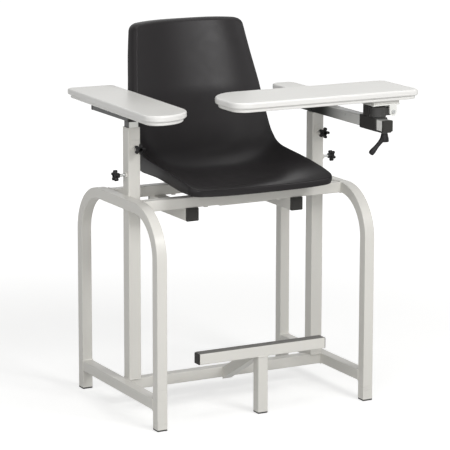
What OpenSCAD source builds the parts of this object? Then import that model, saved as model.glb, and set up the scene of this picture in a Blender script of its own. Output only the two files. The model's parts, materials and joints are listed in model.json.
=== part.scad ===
// Tall blood drawing chair: a bent square tube frame, a moulded shell seat,
// one fixed arm board and one flip-over arm board, both set by star knobs.
// Millimetres. Z is up, the sitter faces -Y, and the origin lies on the floor
// midway between the four legs.

/* [Frame] */
// Width over the two side arches
frame_w = 711.2; // [640:0.1:860]
// Depth over the arch legs
frame_d = 537; // [440:1:660]
// Height of the arch tops
frame_h = 638.2; // [520:0.1:720]
// Outer size of the square frame tube
tube = 31.75; // [25:0.05:36]
// Wall of the frame tube
tube_wall = 1.6; // [1.2:0.1:3]
// Rounding on the outer corners of every square tube
tube_corner = 2.4; // [0.6:0.1:4]
// Outer radius of the arch bends
bend_r = 147; // [60:1:170]
// Height of the underside of the low rails
low_rail_z = 57.5; // [20:0.5:120]
// Distance of the front seat cross rail's middle ahead of the origin
front_rail_ahead = 109.1; // [70:0.1:115]
// Distance of the rear seat cross rail's middle behind the origin
rear_rail_behind = 97.9; // [60:0.1:115]
// Thickness of the moulded foot caps under the tubes
cap_t = 5; // [3:0.5:10]
// How far a cap or an end plug reaches into its tube
plug_depth = 14; // [6:1:25]
// Thickness of an end plug's visible flange
plug_flange = 3; // [1.5:0.5:5]

/* [Posts] */
// Outer size of the square post tube and of the seat bearer tube
post = 38.1; // [36:0.05:44]
// Height of the post tops above the arch tops
post_rise = 196.2; // [150:0.1:260]
// Distance of the post middles ahead of the origin
post_ahead = 2; // [-20:1:20]
// Gap on each side between a post and the arm tube that slides in it
slide_gap = 0.3; // [0.2:0.05:0.6]

/* [Seat bearers] */
// Distance of each seat bearer tube from the middle plane
bearer_x = 172; // [140:1:190]
// How far the bearers pass the front of the front cross rail
bearer_front = 3; // [0:0.5:10]
// How far the bearers pass the back of the rear cross rail
bearer_rear = 6; // [0:0.5:20]
// Width of the flat strip under the front cross rail
strip_w = 160; // [100:1:240]
// Depth of the flat strip under the front cross rail
strip_d = 25; // [15:0.5:30]
// Thickness of the flat strip under the front cross rail
strip_t = 3; // [2:0.5:5]

/* [Footrest] */
// Length of the footrest bar between its end plugs
footrest_w = 412.6; // [300:0.1:560]
// Height of the underside of the footrest bar
footrest_z = 171.3; // [120:0.1:240]
// Distance of the footrest bar's middle behind the arches' front faces
footrest_set_back = 43.2; // [-20:0.1:110]
// Thickness of the ribbed tread on the footrest
tread_t = 1.6; // [1:0.1:4]
// Height of the brace's centre line where it meets the cross rail
brace_low_z = 70.3; // [60:0.1:80]
// Height of the brace's centre line where it meets the leg
brace_high_z = 179.3; // [120:0.1:190]

/* [Seat shell] */
// Widest width of the shell over its crests
seat_w = 460; // [380:1:480]
// Depth of the shell from its front crest to the top of its back
seat_d = 493; // [420:1:560]
// Rise of the back's top edge over the pan
seat_rise = 442.5; // [340:0.5:560]
// Distance of the shell's front crest ahead of the origin
seat_ahead = 246; // [210:1:280]
// Gap between the cross rails and the lowest point of the pan's top
pan_lift = 22; // [16:0.5:40]
// Thickness of the moulded shell
seat_t = 4.6; // [3:0.1:7]
// Depth of the turned rim around the shell
rim_depth = 34; // [20:1:45]
// Radius with which the rim rolls over
rim_roll = 9; // [8:0.5:14]
// Outward lean of the rim's free edge
rim_flare = 5; // [2:0.5:10]
// Distance of the seat fixings from the middle plane
fixing_x = 120; // [90:1:135]
// Radius of the rubber spacers under the shell
spacer_r = 9; // [7:0.5:14]

/* [Arm tubes] */
// How far the arm tubes reach down into the posts
arm_tube_reach = 319.4; // [250:0.1:380]
// Wall of the arm tubes and arm bars
arm_wall = 1.6; // [1.2:0.1:3]
// Height at which the fixed arm is set above its lowest place
fixed_raise = 16.75; // [2:0.05:60]
// How far the fixed arm's bar reaches behind the origin
fixed_bar_rear = 235; // [120:1:280]
// How far the flip arm's bar reaches ahead of the origin
flip_bar_front = 414; // [390:1:480]
// How far the flip arm's bar reaches behind the origin
flip_bar_rear = 190; // [120:1:240]

/* [Boards] */
// Length of both arm boards
board_l = 600; // [480:0.1:700]
// Width of the fixed arm board
fixed_board_w = 152.4; // [110:0.1:190]
// Width of the flip arm board
flip_board_w = 208; // [160:0.1:240]
// Thickness of a board's upper layer
board_top_t = 18; // [12:0.5:25]
// Thickness of a board's lower layer
board_base_t = 11; // [6:0.5:16]
// How far the lower layer stands back from the upper layer's edge
base_inset = 9; // [4:0.5:16]
// Corner radius at a board's blunt end
board_blunt_r = 20; // [14:1:40]
// Corner radius at the fixed board's outer front corner
fixed_outer_r = 46; // [30:1:48]
// Corner radius at the fixed board's inner front corner, beside the seat
fixed_inner_r = 104; // [30:1:106]
// Turn of the fixed board on its bar, its front end away from the seat, in degrees
fixed_board_turn = 1.8; // [0:0.1:3]
// Corner radius at the flip board's front corner on its free end
flip_front_r = 48; // [30:1:80]
// Corner radius at the flip board's rear corner on its free end
flip_rear_r = 108; // [40:1:124]
// How far the fixed board reaches behind the origin
fixed_board_rear = 300.5; // [280:0.1:340]
// Width of the elbow pad on the flip arm's bar
elbow_w = 76.2; // [60:0.1:100]
// Length of the elbow pad
elbow_l = 305; // [200:1:330]
// How far the elbow pad reaches behind the origin
elbow_rear = 207; // [150:1:240]
// Corner radius of the elbow pad
elbow_r = 20; // [14:1:28]

/* [Slider and swivel] */
// Length of the sleeve that slides on the bar
sleeve_l = 88; // [60:1:120]
// Wall of the sleeve
sleeve_wall = 3.7; // [2.5:0.1:6]
// Distance of the sleeve's front end behind the bar's front end
sleeve_back = 34; // [30:1:80]
// How far the lower tongue passes the sleeve's front end
tongue_l = 32; // [18:1:33]
// Distance of the swivel axis behind the sleeve's front end
swivel_back = 21; // [20:1:60]
// Radius of the round swivel head
head_r = 24; // [20:0.5:30]
// Height of the swivel head
head_h = 29; // [24:0.5:40]
// Radius of the swivel stud
swivel_r = 6; // [4:0.5:8]

/* [Flip hinge] */
// Distance of the flip axis outside the bar's middle
hinge_out = 41.2; // [36:0.1:60]
// Height of the flip axis above the swivel head's underside
hinge_up = 13.5; // [12:0.1:15]
// Radius of the hinge bolt
hinge_r = 4; // [3:0.25:6]
// Radius of the hinge lugs
lug_r = 12; // [9:0.5:14]
// Thickness of each hinge lug
lug_t = 5.5; // [4:0.5:8]
// Width of the barrel between the lugs
barrel_l = 24; // [16:1:30]
// Thickness of the hinge bracket's plate
bracket_t = 4; // [3:0.5:6]
// Thickness of the packing block between bracket and board
packing_t = 10; // [6:0.5:16]
// Gap between the swivel head and the bracket's plate
bracket_gap = 4; // [3.5:0.5:8]
// How far the flip board's front edge lies ahead of the swivel axis
flip_board_ahead = 38.4; // [30:0.1:60]
// How far the flip board's blunt end lies outside the bar's middle
flip_board_out = 120.4; // [80:0.1:200]

/* [Knobs and lever] */
// Overall radius of a star knob
knob_r = 17; // [13:0.5:22]
// Thickness of a star knob
knob_t = 13; // [9:0.5:18]
// Radius of the knob studs and of the lever's stud
stud_r = 4; // [3:0.25:6]
// Height of the knobs on the posts' outer faces above the arch tops
low_knob_rise = 58.8; // [40:0.1:90]
// Distance of the knobs on the posts' front faces below the post tops
high_knob_drop = 57.4; // [40:0.1:80]
// Distance from a post's face to the middle of its knob
knob_reach = 36; // [30:1:60]
// Radius of the lever's hub
lever_hub_r = 13; // [9:0.5:16]
// Height of the lever's hub
lever_hub_h = 23; // [16:1:32]
// Sideways reach of the lever's arm to the middle of its grip
lever_reach = 40; // [30:1:60]
// Thickness radius of the lever's arm
lever_arm_r = 6.3; // [4:0.25:8]
// Radius of the lever's grip
lever_grip_r = 8.5; // [5:0.25:10]

/* [Hidden] */

// Shared clearances and fineness
over = 1;
seat_gap = 0.3;
plug_gap = 0.1;
run_gap = 0.05;
bolt_gap = 0.4;
corner_fn = 24;
round_fn = 48;
wide_fn = 96;

// Paint and material colours
paint = [0.84, 0.83, 0.81];
laminate = [0.93, 0.93, 0.92];
chrome = [0.78, 0.79, 0.8];
steel = [0.66, 0.67, 0.68];
black = [0.16, 0.16, 0.16];
moulded = [0.12, 0.12, 0.12];
tread_grey = [0.45, 0.45, 0.45];

// Frame places
arch_x = frame_w / 2 - tube / 2;
inner_x = frame_w / 2 - tube;
leg_y = frame_d / 2 - tube / 2;
bend_y = frame_d / 2 - bend_r;
bend_z = frame_h - bend_r;
bend_mid_r = bend_r - tube / 2;
low_rail_mid = low_rail_z + tube / 2;
low_rail_top = low_rail_z + tube;
seat_rail_mid = frame_h - tube / 2;
seat_rail_under = frame_h - tube;
post_x = inner_x - post / 2;
post_y = -post_ahead;
post_wall = (post - tube) / 2 - slide_gap;
post_front = post_y - post / 2;
post_top = frame_h + post_rise;

// Bearer places
bearer_z = seat_rail_under - post / 2;
bearer_y0 = -front_rail_ahead - tube / 2 - bearer_front;
bearer_y1 = rear_rail_behind + tube / 2 + bearer_rear;
strip_y = -front_rail_ahead - tube / 2 + strip_d / 2 + tube_corner;

// Footrest places
footrest_y = footrest_set_back - frame_d / 2;
footrest_mid_z = footrest_z + tube / 2;
brace_y0 = post_y - tube / 2;
brace_y1 = footrest_y + tube / 2;
brace_rise = brace_high_z - brace_low_z;
brace_run = brace_y0 - brace_y1;
brace_slope = atan(brace_rise / brace_run);
brace_len = sqrt(brace_rise * brace_rise + brace_run * brace_run);

// Knob and stud places
knob_ahead = 6;
pad_w = 29;
pad_h = 41;
pad_t = 2;
nut_r = 9;
nut_t = 6;
nut_fn = 6;
low_knob_y = post_y - knob_ahead;
low_knob_z = frame_h + low_knob_rise;
high_knob_z = post_top - high_knob_drop;
post_outer = post_x + post / 2;
stud_inner = post_outer - post_wall;
stud_into_knob = 9;
knob_boss_r = 7.5;
knob_boss_t = 6;
knob_lobes = 5;
lobe_r_share = 0.3;
knob_core_share = 0.55;

// Arm places
arm_y = post_y;
arm_tube_low = post_top - arm_tube_reach;
fixed_bar_z = post_top + fixed_raise;
fixed_board_z = fixed_bar_z + tube;
fixed_bar_y0 = arm_y - tube / 2 + plug_flange;
flip_bar_z = post_top + seat_gap;
flip_bar_top = flip_bar_z + tube;
fixed_screw_ys = [fixed_bar_rear * 0.3, fixed_bar_rear * 0.8];
flip_screw_ys = [flip_bar_rear * 0.3, flip_bar_rear * 0.8];
screw_r = 2.5;
screw_head_r = 5.5;
screw_head_t = 3;
screw_bite = 14;

// Sleeve, swivel and lever places
bar_x = post_x;
sleeve_in = tube + 2 * slide_gap;
sleeve_out = sleeve_in + 2 * sleeve_wall;
sleeve_y0 = -flip_bar_front + sleeve_back;
sleeve_y1 = sleeve_y0 + sleeve_l;
sleeve_mid_z = flip_bar_z + tube / 2;
sleeve_top = sleeve_mid_z + sleeve_out / 2;
sleeve_under = sleeve_mid_z - sleeve_out / 2;
tongue_y0 = sleeve_y0 - tongue_l;
swivel_y = sleeve_y0 + swivel_back;
head_z = sleeve_top + seat_gap;
head_top = head_z + head_h;
swivel_cap_r = 10;
swivel_cap_t = 5;
swivel_cap_seat = head_top - swivel_cap_t - over;
rest_x0 = -20;
rest_x1 = 20;
rest_y0 = 19;
rest_y1 = 49;
lever_y = sleeve_y0 - tongue_l / 2 - over;
lever_boss_r = 9;
lever_boss_h = 4;
lever_hub_top = sleeve_under - lever_boss_h - seat_gap;
lever_hub_low = lever_hub_top - lever_hub_h;
lever_hub_taper = 3;
lever_pocket_r = 7;
lever_cap_r = 6.4;
lever_cap_t = 4;
lever_pull = 4;
lever_shoulder = lever_hub_h / 2;
lever_pocket_h = lever_hub_h - lever_shoulder;
lever_slope = 45;
grip_l = 17;
lever_arm_start = lever_hub_h * 0.6;
lever_arm_l = lever_reach / cos(lever_slope);

// Hinge places
hinge_x = bar_x + hinge_out;
hinge_z = head_z + hinge_up;
barrel_r = lug_r - 2 * seat_gap - over;
bracket_z = head_top + bracket_gap;
packing_z = bracket_z + bracket_t;
flip_board_z = packing_z + packing_t;
lug_front_y = swivel_y - barrel_l / 2 - seat_gap - lug_t;
lug_rear_y = swivel_y + barrel_l / 2 + seat_gap;
bracket_x0 = bar_x - rest_x1 - 4.8;
bracket_x1 = hinge_x + lug_r + 10;
bracket_y0 = lug_front_y;
bracket_y1 = swivel_y + rest_y1 + 3;
packing_margin = 3;
bolt_head_r = 6.5;
bolt_head_t = 4;
flip_x1 = bar_x + flip_board_out;
flip_x0 = flip_x1 - board_l;
flip_y0 = swivel_y - flip_board_ahead;
flip_y1 = flip_y0 + flip_board_w;
bracket_screw_inset = 9;
bracket_screws = [
    [bracket_x0 + bracket_screw_inset, bracket_y0 + lug_t + bracket_screw_inset],
    [bracket_x1 - bracket_screw_inset, bracket_y0 + lug_t + bracket_screw_inset],
    [bracket_x1 - bracket_screw_inset, bracket_y1 - bracket_screw_inset]
];

// Seat shell stations from the front crest to the top edge, as shares of the
// shell's depth and rise: down the middle, then along the side crest
middle_shares = [
    [0.006, 0.038], [0.063, 0.040], [0.154, 0.029], [0.296, 0.009], [0.438, 0.000],
    [0.580, 0.000], [0.682, 0.011], [0.753, 0.049], [0.799, 0.124], [0.824, 0.236],
    [0.859, 0.460], [0.8745, 0.545], [0.8956, 0.620], [0.949, 0.809], [0.9955, 0.982]
];
side_shares = [
    [0.000, 0.054], [0.057, 0.072], [0.150, 0.090], [0.292, 0.112], [0.428, 0.128],
    [0.560, 0.142], [0.641, 0.155], [0.698, 0.180], [0.730, 0.216], [0.763, 0.279],
    [0.8139, 0.458], [0.8351, 0.545], [0.8567, 0.621], [0.909, 0.793], [0.9545, 0.971]
];
// Half width at each station as a share of the widest half width
half_width_shares = [
    0.983, 0.991, 1.000, 1.000, 1.000, 0.996, 0.991, 0.984, 0.972, 0.951,
    0.904, 0.878, 0.856, 0.804, 0.749
];
// Depth of the turned rim at each station as a share of its usual depth
rim_depth_shares = [
    0.60, 0.78, 0.94, 1.00, 1.02, 1.20, 1.36, 1.42, 1.34, 1.24,
    1.18, 1.14, 1.10, 1.06, 0.96
];
// Outward lean of the rim's free edge at each station as a share of its usual lean
rim_flare_shares = [
    1.0, 1.0, 1.0, 1.0, 1.0, 1.0, 1.2, 1.6, 2.0, 2.4,
    2.8, 3.2, 3.2, 3.2, 3.2
];
last_station = len(middle_shares) - 1;
bucket_power = 3.2;
front_corner_share = 0.13;
front_corner_stations = 0.95;
top_corner_share = 0.09;
top_corner_stations = 0.18;
front_steps = 8;
corner_steps = 6;
side_steps = 20;
top_steps = 14;
pan_rings = [0.12, 0.32, 0.50, 0.65, 0.78, 0.88, 0.95, 1];
rim_steps = 5;
pan_z = frame_h + pan_lift;

// Fixing places under the shell
fixing_ys = [-front_rail_ahead, rear_rail_behind];
fixing_r = 4;
fixing_head_r = 7;
fixing_head_t = 4.5;

// Rounded square outline, centred
module tube_outline(size) {
    flat = size - 2 * tube_corner;
    square([size, flat], center = true);
    square([flat, size], center = true);
    for (sx = [-1, 1], sy = [-1, 1])
        translate([sx * flat / 2, sy * flat / 2])
            circle(r = tube_corner, $fn = corner_fn);
}

// Cross section of a square tube, centred
module tube_section(size, wall) {
    difference() {
        tube_outline(size);
        square(size - 2 * wall, center = true);
    }
}

module tube_x(size, wall, x0, x1) {
    translate([x0, 0, 0]) rotate([90, 0, 90])
        linear_extrude(x1 - x0) tube_section(size, wall);
}

module tube_y(size, wall, y0, y1) {
    translate([0, y1, 0]) rotate([90, 0, 0])
        linear_extrude(y1 - y0) tube_section(size, wall);
}

module tube_z(size, wall, z0, z1) {
    translate([0, 0, z0]) linear_extrude(z1 - z0) tube_section(size, wall);
}

// End plug that closes a square tube: its flange covers the tube's end at
// height zero and its body reaches down into the tube
module tube_plug(size, wall, flange) {
    linear_extrude(flange) tube_outline(size);
    insert = size - 2 * wall - 2 * plug_gap;
    translate([-insert / 2, -insert / 2, -plug_depth])
        cube([insert, insert, plug_depth + flange / 2]);
}

// Quarter disc that fills one corner of a plate
module round_corner(x, y, r, sx, sy) {
    intersection() {
        translate([x + sx * r, y + sy * r]) circle(r = r, $fn = wide_fn);
        translate([min(x, x + sx * r), min(y, y + sy * r)]) square(r);
    }
}

// Plate outline between two corners, with a radius for each corner in the
// order low x low y, high x low y, high x high y, low x high y
module plate_outline(x0, x1, y0, y1, radii) {
    a = radii[0];
    b = radii[1];
    c = radii[2];
    d = radii[3];
    polygon([
        [x0 + a, y0], [x1 - b, y0], [x1, y0 + b], [x1, y1 - c],
        [x1 - c, y1], [x0 + d, y1], [x0, y1 - d], [x0, y0 + a]
    ]);
    round_corner(x0, y0, a, 1, 1);
    round_corner(x1, y0, b, -1, 1);
    round_corner(x1, y1, c, -1, -1);
    round_corner(x0, y1, d, 1, -1);
}

module board_layer(x0, x1, y0, y1, radii, inset, z, t) {
    translate([0, 0, z]) linear_extrude(t)
        plate_outline(x0 + inset, x1 - inset, y0 + inset, y1 - inset,
            [for (r = radii) r - inset]);
}

// Side arch: two legs, two bends and a level top in one bent tube
module arch(side) {
    translate([side * arch_x, 0, 0]) {
        for (sy = [-1, 1])
            translate([0, sy * leg_y, 0]) tube_z(tube, tube_wall, cap_t, bend_z);
        for (flip = [0, 1])
            mirror([0, flip, 0]) translate([0, bend_y, bend_z]) rotate([90, 0, 90])
                rotate_extrude(angle = 90, $fn = wide_fn) translate([bend_mid_r, 0])
                    tube_section(tube, tube_wall);
        translate([0, 0, seat_rail_mid]) tube_y(tube, tube_wall, -bend_y, bend_y);
    }
}

module left_arch() { color(paint) arch(-1); }
module right_arch() { color(paint) arch(1); }

// Low rail between the two legs of one arch
module side_rail(side) {
    translate([side * arch_x, 0, low_rail_mid])
        tube_y(tube, tube_wall, -leg_y + tube / 2, leg_y - tube / 2);
}

module left_side_rail() { color(paint) side_rail(-1); }
module right_side_rail() { color(paint) side_rail(1); }

module lower_cross_rail() {
    color(paint) translate([0, post_y, low_rail_mid])
        tube_x(tube, tube_wall, -inner_x, inner_x);
}

// Upright tube that an arm tube slides in, with holes for two clamp studs
module arm_post(side) {
    difference() {
        translate([side * post_x, post_y, 0])
            tube_z(post, post_wall, low_rail_top, post_top);
        translate([side * (post_x + post / 4), low_knob_y, low_knob_z])
            rotate([0, side * 90, 0])
                cylinder(r = stud_r + run_gap, h = post, $fn = round_fn);
        translate([side * post_x, post_y - post / 4, high_knob_z])
            rotate([90, 0, 0])
                cylinder(r = stud_r + run_gap, h = post, $fn = round_fn);
    }
}

module left_post() { color(paint) arm_post(-1); }
module right_post() { color(paint) arm_post(1); }

// Cross rail under the seat, drilled for the seat bolts
module seat_rail(y) {
    difference() {
        translate([0, y, seat_rail_mid]) tube_x(tube, tube_wall, -inner_x, inner_x);
        for (sx = [-1, 1])
            translate([sx * fixing_x, y, seat_rail_under - over])
                cylinder(r = fixing_r + bolt_gap, h = tube + 2 * over, $fn = round_fn);
    }
}

module front_seat_rail() { color(paint) seat_rail(-front_rail_ahead); }
module rear_seat_rail() { color(paint) seat_rail(rear_rail_behind); }

// Bearer tube that runs front to back under the cross rails
module bearer(side) {
    translate([side * bearer_x, 0, bearer_z]) tube_y(post, tube_wall, bearer_y0, bearer_y1);
}

module left_bearer() { color(paint) bearer(-1); }
module right_bearer() { color(paint) bearer(1); }

module bearer_plugs() {
    color(black) for (sx = [-1, 1]) {
        translate([sx * bearer_x, bearer_y0, bearer_z]) rotate([90, 0, 0])
            tube_plug(post, tube_wall, plug_flange);
        translate([sx * bearer_x, bearer_y1, bearer_z]) rotate([-90, 0, 0])
            tube_plug(post, tube_wall, plug_flange);
    }
}

module front_strip() {
    color(paint) translate([-strip_w / 2, strip_y - strip_d / 2, seat_rail_under - strip_t])
        cube([strip_w, strip_d, strip_t]);
}

// Moulded caps under the four legs and under the footrest leg
module foot_caps() {
    color(black) {
        for (sx = [-1, 1], sy = [-1, 1])
            translate([sx * arch_x, sy * leg_y, cap_t]) mirror([0, 0, 1])
                tube_plug(tube, tube_wall, cap_t);
        translate([0, footrest_y, cap_t]) mirror([0, 0, 1])
            tube_plug(tube, tube_wall, cap_t);
    }
}

module footrest_bar() {
    color(paint) translate([0, footrest_y, footrest_mid_z])
        tube_x(tube, tube_wall, -footrest_w / 2, footrest_w / 2);
}

module footrest_leg() {
    color(paint) translate([0, footrest_y, 0]) tube_z(tube, tube_wall, cap_t, footrest_z);
}

// Sloping brace from the low cross rail up to the footrest leg and bar
module footrest_brace() {
    color(paint) difference() {
        translate([0, brace_y0, brace_low_z]) rotate([-brace_slope, 0, 0])
            tube_y(tube, tube_wall, -brace_len - tube, tube);
        translate([-tube, brace_y0, low_rail_z - 2 * tube]) cube([2 * tube, 3 * tube, 6 * tube]);
        translate([-tube, brace_y1 - 3 * tube, footrest_z - 3 * tube])
            cube([2 * tube, 3 * tube, 6 * tube]);
    }
}

module footrest_plugs() {
    color(black) for (sx = [-1, 1])
        translate([sx * footrest_w / 2, footrest_y, footrest_mid_z]) rotate([0, sx * 90, 0])
            tube_plug(tube, tube_wall, plug_flange);
}

module footrest_tread() {
    color(tread_grey)
        translate([-footrest_w / 2, footrest_y - tube / 2 + tube_corner / 2, footrest_z + tube])
            cube([footrest_w, tube - tube_corner, tread_t]);
}

// Reinforcing pads on the front faces of the posts, behind the upper knobs
module knob_pads() {
    color(paint) for (sx = [-1, 1]) difference() {
        translate([sx * post_x - pad_w / 2, post_front - pad_t, high_knob_z - pad_h / 2])
            cube([pad_w, pad_t, pad_h]);
        translate([sx * post_x, post_front + over, high_knob_z]) rotate([90, 0, 0])
            cylinder(r = stud_r + run_gap, h = pad_t + 2 * over, $fn = round_fn);
    }
}

// Six-sided weld nut, standing on the plane at height zero
module weld_nut() {
    difference() {
        cylinder(r = nut_r, h = nut_t, $fn = nut_fn);
        translate([0, 0, -over])
            cylinder(r = stud_r + run_gap, h = nut_t + 2 * over, $fn = round_fn);
    }
}

module clamp_nuts() {
    color(paint) for (sx = [-1, 1]) {
        translate([sx * post_outer, low_knob_y, low_knob_z]) rotate([0, sx * 90, 0]) weld_nut();
        translate([sx * post_x, post_front - pad_t, high_knob_z]) rotate([90, 0, 0]) weld_nut();
    }
}

// Smooth value between the stations of a list
function station(list, i) = list[max(0, min(len(list) - 1, i))];
function curve(list, b) =
    let (
        i = floor(b),
        t = b - i,
        p0 = station(list, i - 1),
        p1 = station(list, i),
        p2 = station(list, i + 1),
        p3 = station(list, i + 2)
    )
    p1 + (p2 - p0) * t / 2
        + (2 * p0 - 5 * p1 + 4 * p2 - p3) * t * t / 2
        + (3 * p1 - p0 - 3 * p2 + p3) * t * t * t / 2;

function unit(v) = v / norm(v);
function mix(a, b, t) = a + (b - a) * t;

// Point of the sitting face at share a across and station b along the shell
function seat_point(a, b) =
    let (
        m = curve(middle_shares, b),
        s = curve(side_shares, b),
        k = pow(abs(a), bucket_power),
        p = mix(m, s, k)
    )
    [
        a * curve(half_width_shares, b) * seat_w / 2,
        p[0] * seat_d - seat_ahead,
        p[1] * seat_rise + pan_z
    ];

// Closed outline of the shell in shares across and stations along
fa = front_corner_share;
fb = front_corner_stations;
ta = top_corner_share;
tb = top_corner_stations;
seat_outline = concat(
    [for (i = [0:front_steps - 1]) [mix(-1 + fa, 1 - fa, i / front_steps), 0]],
    [for (i = [0:corner_steps - 1]) let (w = 90 * i / corner_steps - 90)
        [1 - fa + fa * cos(w), fb + fb * sin(w)]],
    [for (i = [0:side_steps - 1]) [1, mix(fb, last_station - tb, i / side_steps)]],
    [for (i = [0:corner_steps - 1]) let (w = 90 * i / corner_steps)
        [1 - ta + ta * cos(w), last_station - tb + tb * sin(w)]],
    [for (i = [0:top_steps - 1]) [mix(1 - ta, -1 + ta, i / top_steps), last_station]],
    [for (i = [0:corner_steps - 1]) let (w = 90 + 90 * i / corner_steps)
        [-1 + ta + ta * cos(w), last_station - tb + tb * sin(w)]],
    [for (i = [0:side_steps - 1]) [-1, mix(last_station - tb, fb, i / side_steps)]],
    [for (i = [0:corner_steps - 1]) let (w = 180 + 90 * i / corner_steps)
        [-1 + fa + fa * cos(w), fb + fb * sin(w)]]
);
outline_n = len(seat_outline);

// Point at a share of the way from the middle line to the outline
function ring_point(i, share) =
    let (
        edge = seat_outline[(i + outline_n) % outline_n],
        middle = [0, max(fb, min(last_station - tb, edge[1]))],
        p = mix(middle, edge, share)
    )
    seat_point(p[0], p[1]);

// Direction in which the rim turns away at a station: square to the side crest
function rim_direction(b) =
    let (
        step = 0.05,
        d = curve(side_shares, min(b + step, last_station)) - curve(side_shares, max(b - step, 0))
    )
    unit([0, d[1] * seat_rise, -d[0] * seat_d]);

// Rolled rim as a cubic curve from the crest to its free edge
function rim_point(i, t) =
    let (
        b = seat_outline[(i + outline_n) % outline_n][1],
        crest = ring_point(i, 1),
        inner = ring_point(i, 0.98),
        along = ring_point(i + 1, 1) - ring_point(i - 1, 1),
        away = rim_direction(b),
        pull = crest - inner,
        square_pull = pull - along * (along * pull) / (along * along),
        level = unit(cross(along, away)),
        out = level * (level * pull < 0 ? -1 : 1),
        lean = rim_flare * curve(rim_flare_shares, b),
        depth = rim_depth * curve(rim_depth_shares, b),
        c1 = crest + unit(square_pull) * rim_roll * 0.6,
        c2 = crest + out * (rim_roll + lean) * 0.6 + away * (rim_roll + depth / 4) * 0.6,
        c3 = crest + out * lean + away * depth
    )
    crest * pow(1 - t, 3) + c1 * 3 * t * pow(1 - t, 2) + c2 * 3 * t * t * (1 - t) + c3 * pow(t, 3);

pan_count = len(pan_rings);
ring_count = pan_count + rim_steps;
function shell_point(i, j) = j < pan_count
    ? ring_point(i, pan_rings[j])
    : rim_point(i, (j - pan_count + 1) / rim_steps);

shell_top = [for (j = [0:ring_count - 1]) [for (i = [0:outline_n - 1]) shell_point(i, j)]];
function top_at(i, j) = shell_top[j][(i + outline_n) % outline_n];
function shell_normal(i, j) =
    unit(cross(
        top_at(i, min(j + 1, ring_count - 1)) - (j == 0 ? ring_point(i, 0) : top_at(i, j - 1)),
        top_at(i + 1, j) - top_at(i - 1, j)
    ));
shell_under = [for (j = [0:ring_count - 1]) [for (i = [0:outline_n - 1])
    shell_top[j][i] - seat_t * shell_normal(i, j)]];

// Flattens a list of rings into one list of points
function flat(rings) = [for (ring = rings) for (p = ring) p];

// Places on the outline where its straight sides begin and end
right_first = front_steps + corner_steps;
right_last = right_first + side_steps;
left_last = right_last + 2 * corner_steps + top_steps;
left_first = left_last + side_steps;

// Triangles that fill the innermost ring: a fan at the front, rungs between
// the two sides and a fan at the top, with the two fan points at front and top
function middle_faces(front, top) = concat(
    [for (k = [left_first:right_first + outline_n - 1])
        [front, (k + 1) % outline_n, k % outline_n]],
    [for (k = [right_last:left_last - 1]) [top, k + 1, k]],
    [for (s = [0:side_steps - 1], t = rung(s, front, top)) t]
);
function rung(s, front, top) =
    let (
        r0 = right_first + s,
        r1 = r0 + 1,
        l0 = (left_first - s) % outline_n,
        l1 = left_first - s - 1
    )
    s == 0 ? [[front, r1, r0], [front, l1, r1], [front, l0, l1]]
    : s == side_steps - 1 ? [[top, r1, r0], [top, r0, l0], [top, l0, l1]]
    : [[r0, l1, r1], [r0, l0, l1]];

// One moulded shell: sitting face, underside and the free edge between them
module seat_shell() {
    low = ring_count * outline_n;
    ends = [seat_point(0, fb), seat_point(0, last_station - tb)];
    drop = [[0, 0, -seat_t], unit(rim_direction(last_station)) * seat_t];
    points = concat(flat(shell_top), flat(shell_under), ends, ends + drop);
    fan = 2 * low;
    fill = middle_faces(fan, fan + 1);
    fill_under = [for (f = middle_faces(fan + 2 - low, fan + 3 - low))
        [f[0] + low, f[2] + low, f[1] + low]];
    faces = concat(
        fill,
        fill_under,
        [for (j = [0:ring_count - 2], i = [0:outline_n - 1], half = [0, 1])
            let (k = (i + 1) % outline_n, a = j * outline_n, c = a + outline_n)
            half == 0 ? [a + i, a + k, c + k] : [a + i, c + k, c + i]],
        [for (j = [0:ring_count - 2], i = [0:outline_n - 1], half = [0, 1])
            let (k = (i + 1) % outline_n, a = low + j * outline_n, c = a + outline_n)
            half == 0 ? [a + i, c + k, a + k] : [a + i, c + i, c + k]],
        [for (i = [0:outline_n - 1], half = [0, 1])
            let (k = (i + 1) % outline_n, a = low - outline_n, c = 2 * low - outline_n)
            half == 0 ? [a + i, a + k, c + k] : [a + i, c + k, c + i]]
    );
    color(moulded) polyhedron(points, faces);
}

// Station at which the shell passes over a place on the floor
function station_over(x, y, low = 1, high = 7, n = 16) =
    let (
        mid = (low + high) / 2,
        a = x / (curve(half_width_shares, mid) * seat_w / 2)
    )
    n == 0 ? mid
        : seat_point(a, mid)[1] < y ? station_over(x, y, mid, high, n - 1)
        : station_over(x, y, low, mid, n - 1);
function seat_height(x, y) =
    let (b = station_over(x, y), a = x / (curve(half_width_shares, b) * seat_w / 2))
    seat_point(a, b)[2];
function spacer_top(y) =
    min([for (w = [0:30:330])
        seat_height(fixing_x + spacer_r * cos(w), y + spacer_r * sin(w))])
        - seat_t - seat_gap;

module seat_spacers() {
    color(black) for (sx = [-1, 1], y = fixing_ys) difference() {
        translate([sx * fixing_x, y, frame_h])
            cylinder(r = spacer_r, h = spacer_top(y) - frame_h, $fn = round_fn);
        translate([sx * fixing_x, y, frame_h - over])
            cylinder(r = fixing_r + bolt_gap, h = spacer_top(y) - frame_h + 2 * over,
                $fn = round_fn);
    }
}

// Bolts that come up through the cross rails and the spacers into the shell
module seat_bolts() {
    color(steel) for (sx = [-1, 1], y = fixing_ys) {
        translate([sx * fixing_x, y, seat_rail_under - fixing_head_t])
            cylinder(r = fixing_head_r, h = fixing_head_t, $fn = round_fn);
        translate([sx * fixing_x, y, seat_rail_under - fixing_head_t / 2])
            cylinder(r = fixing_r, h = spacer_top(y) - seat_rail_under + fixing_head_t / 2,
                $fn = round_fn);
    }
}

// Arm tube that slides in a post
module arm_tube(side, top) {
    translate([side * post_x, arm_y, 0]) tube_z(tube, arm_wall, arm_tube_low, top);
}

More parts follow.
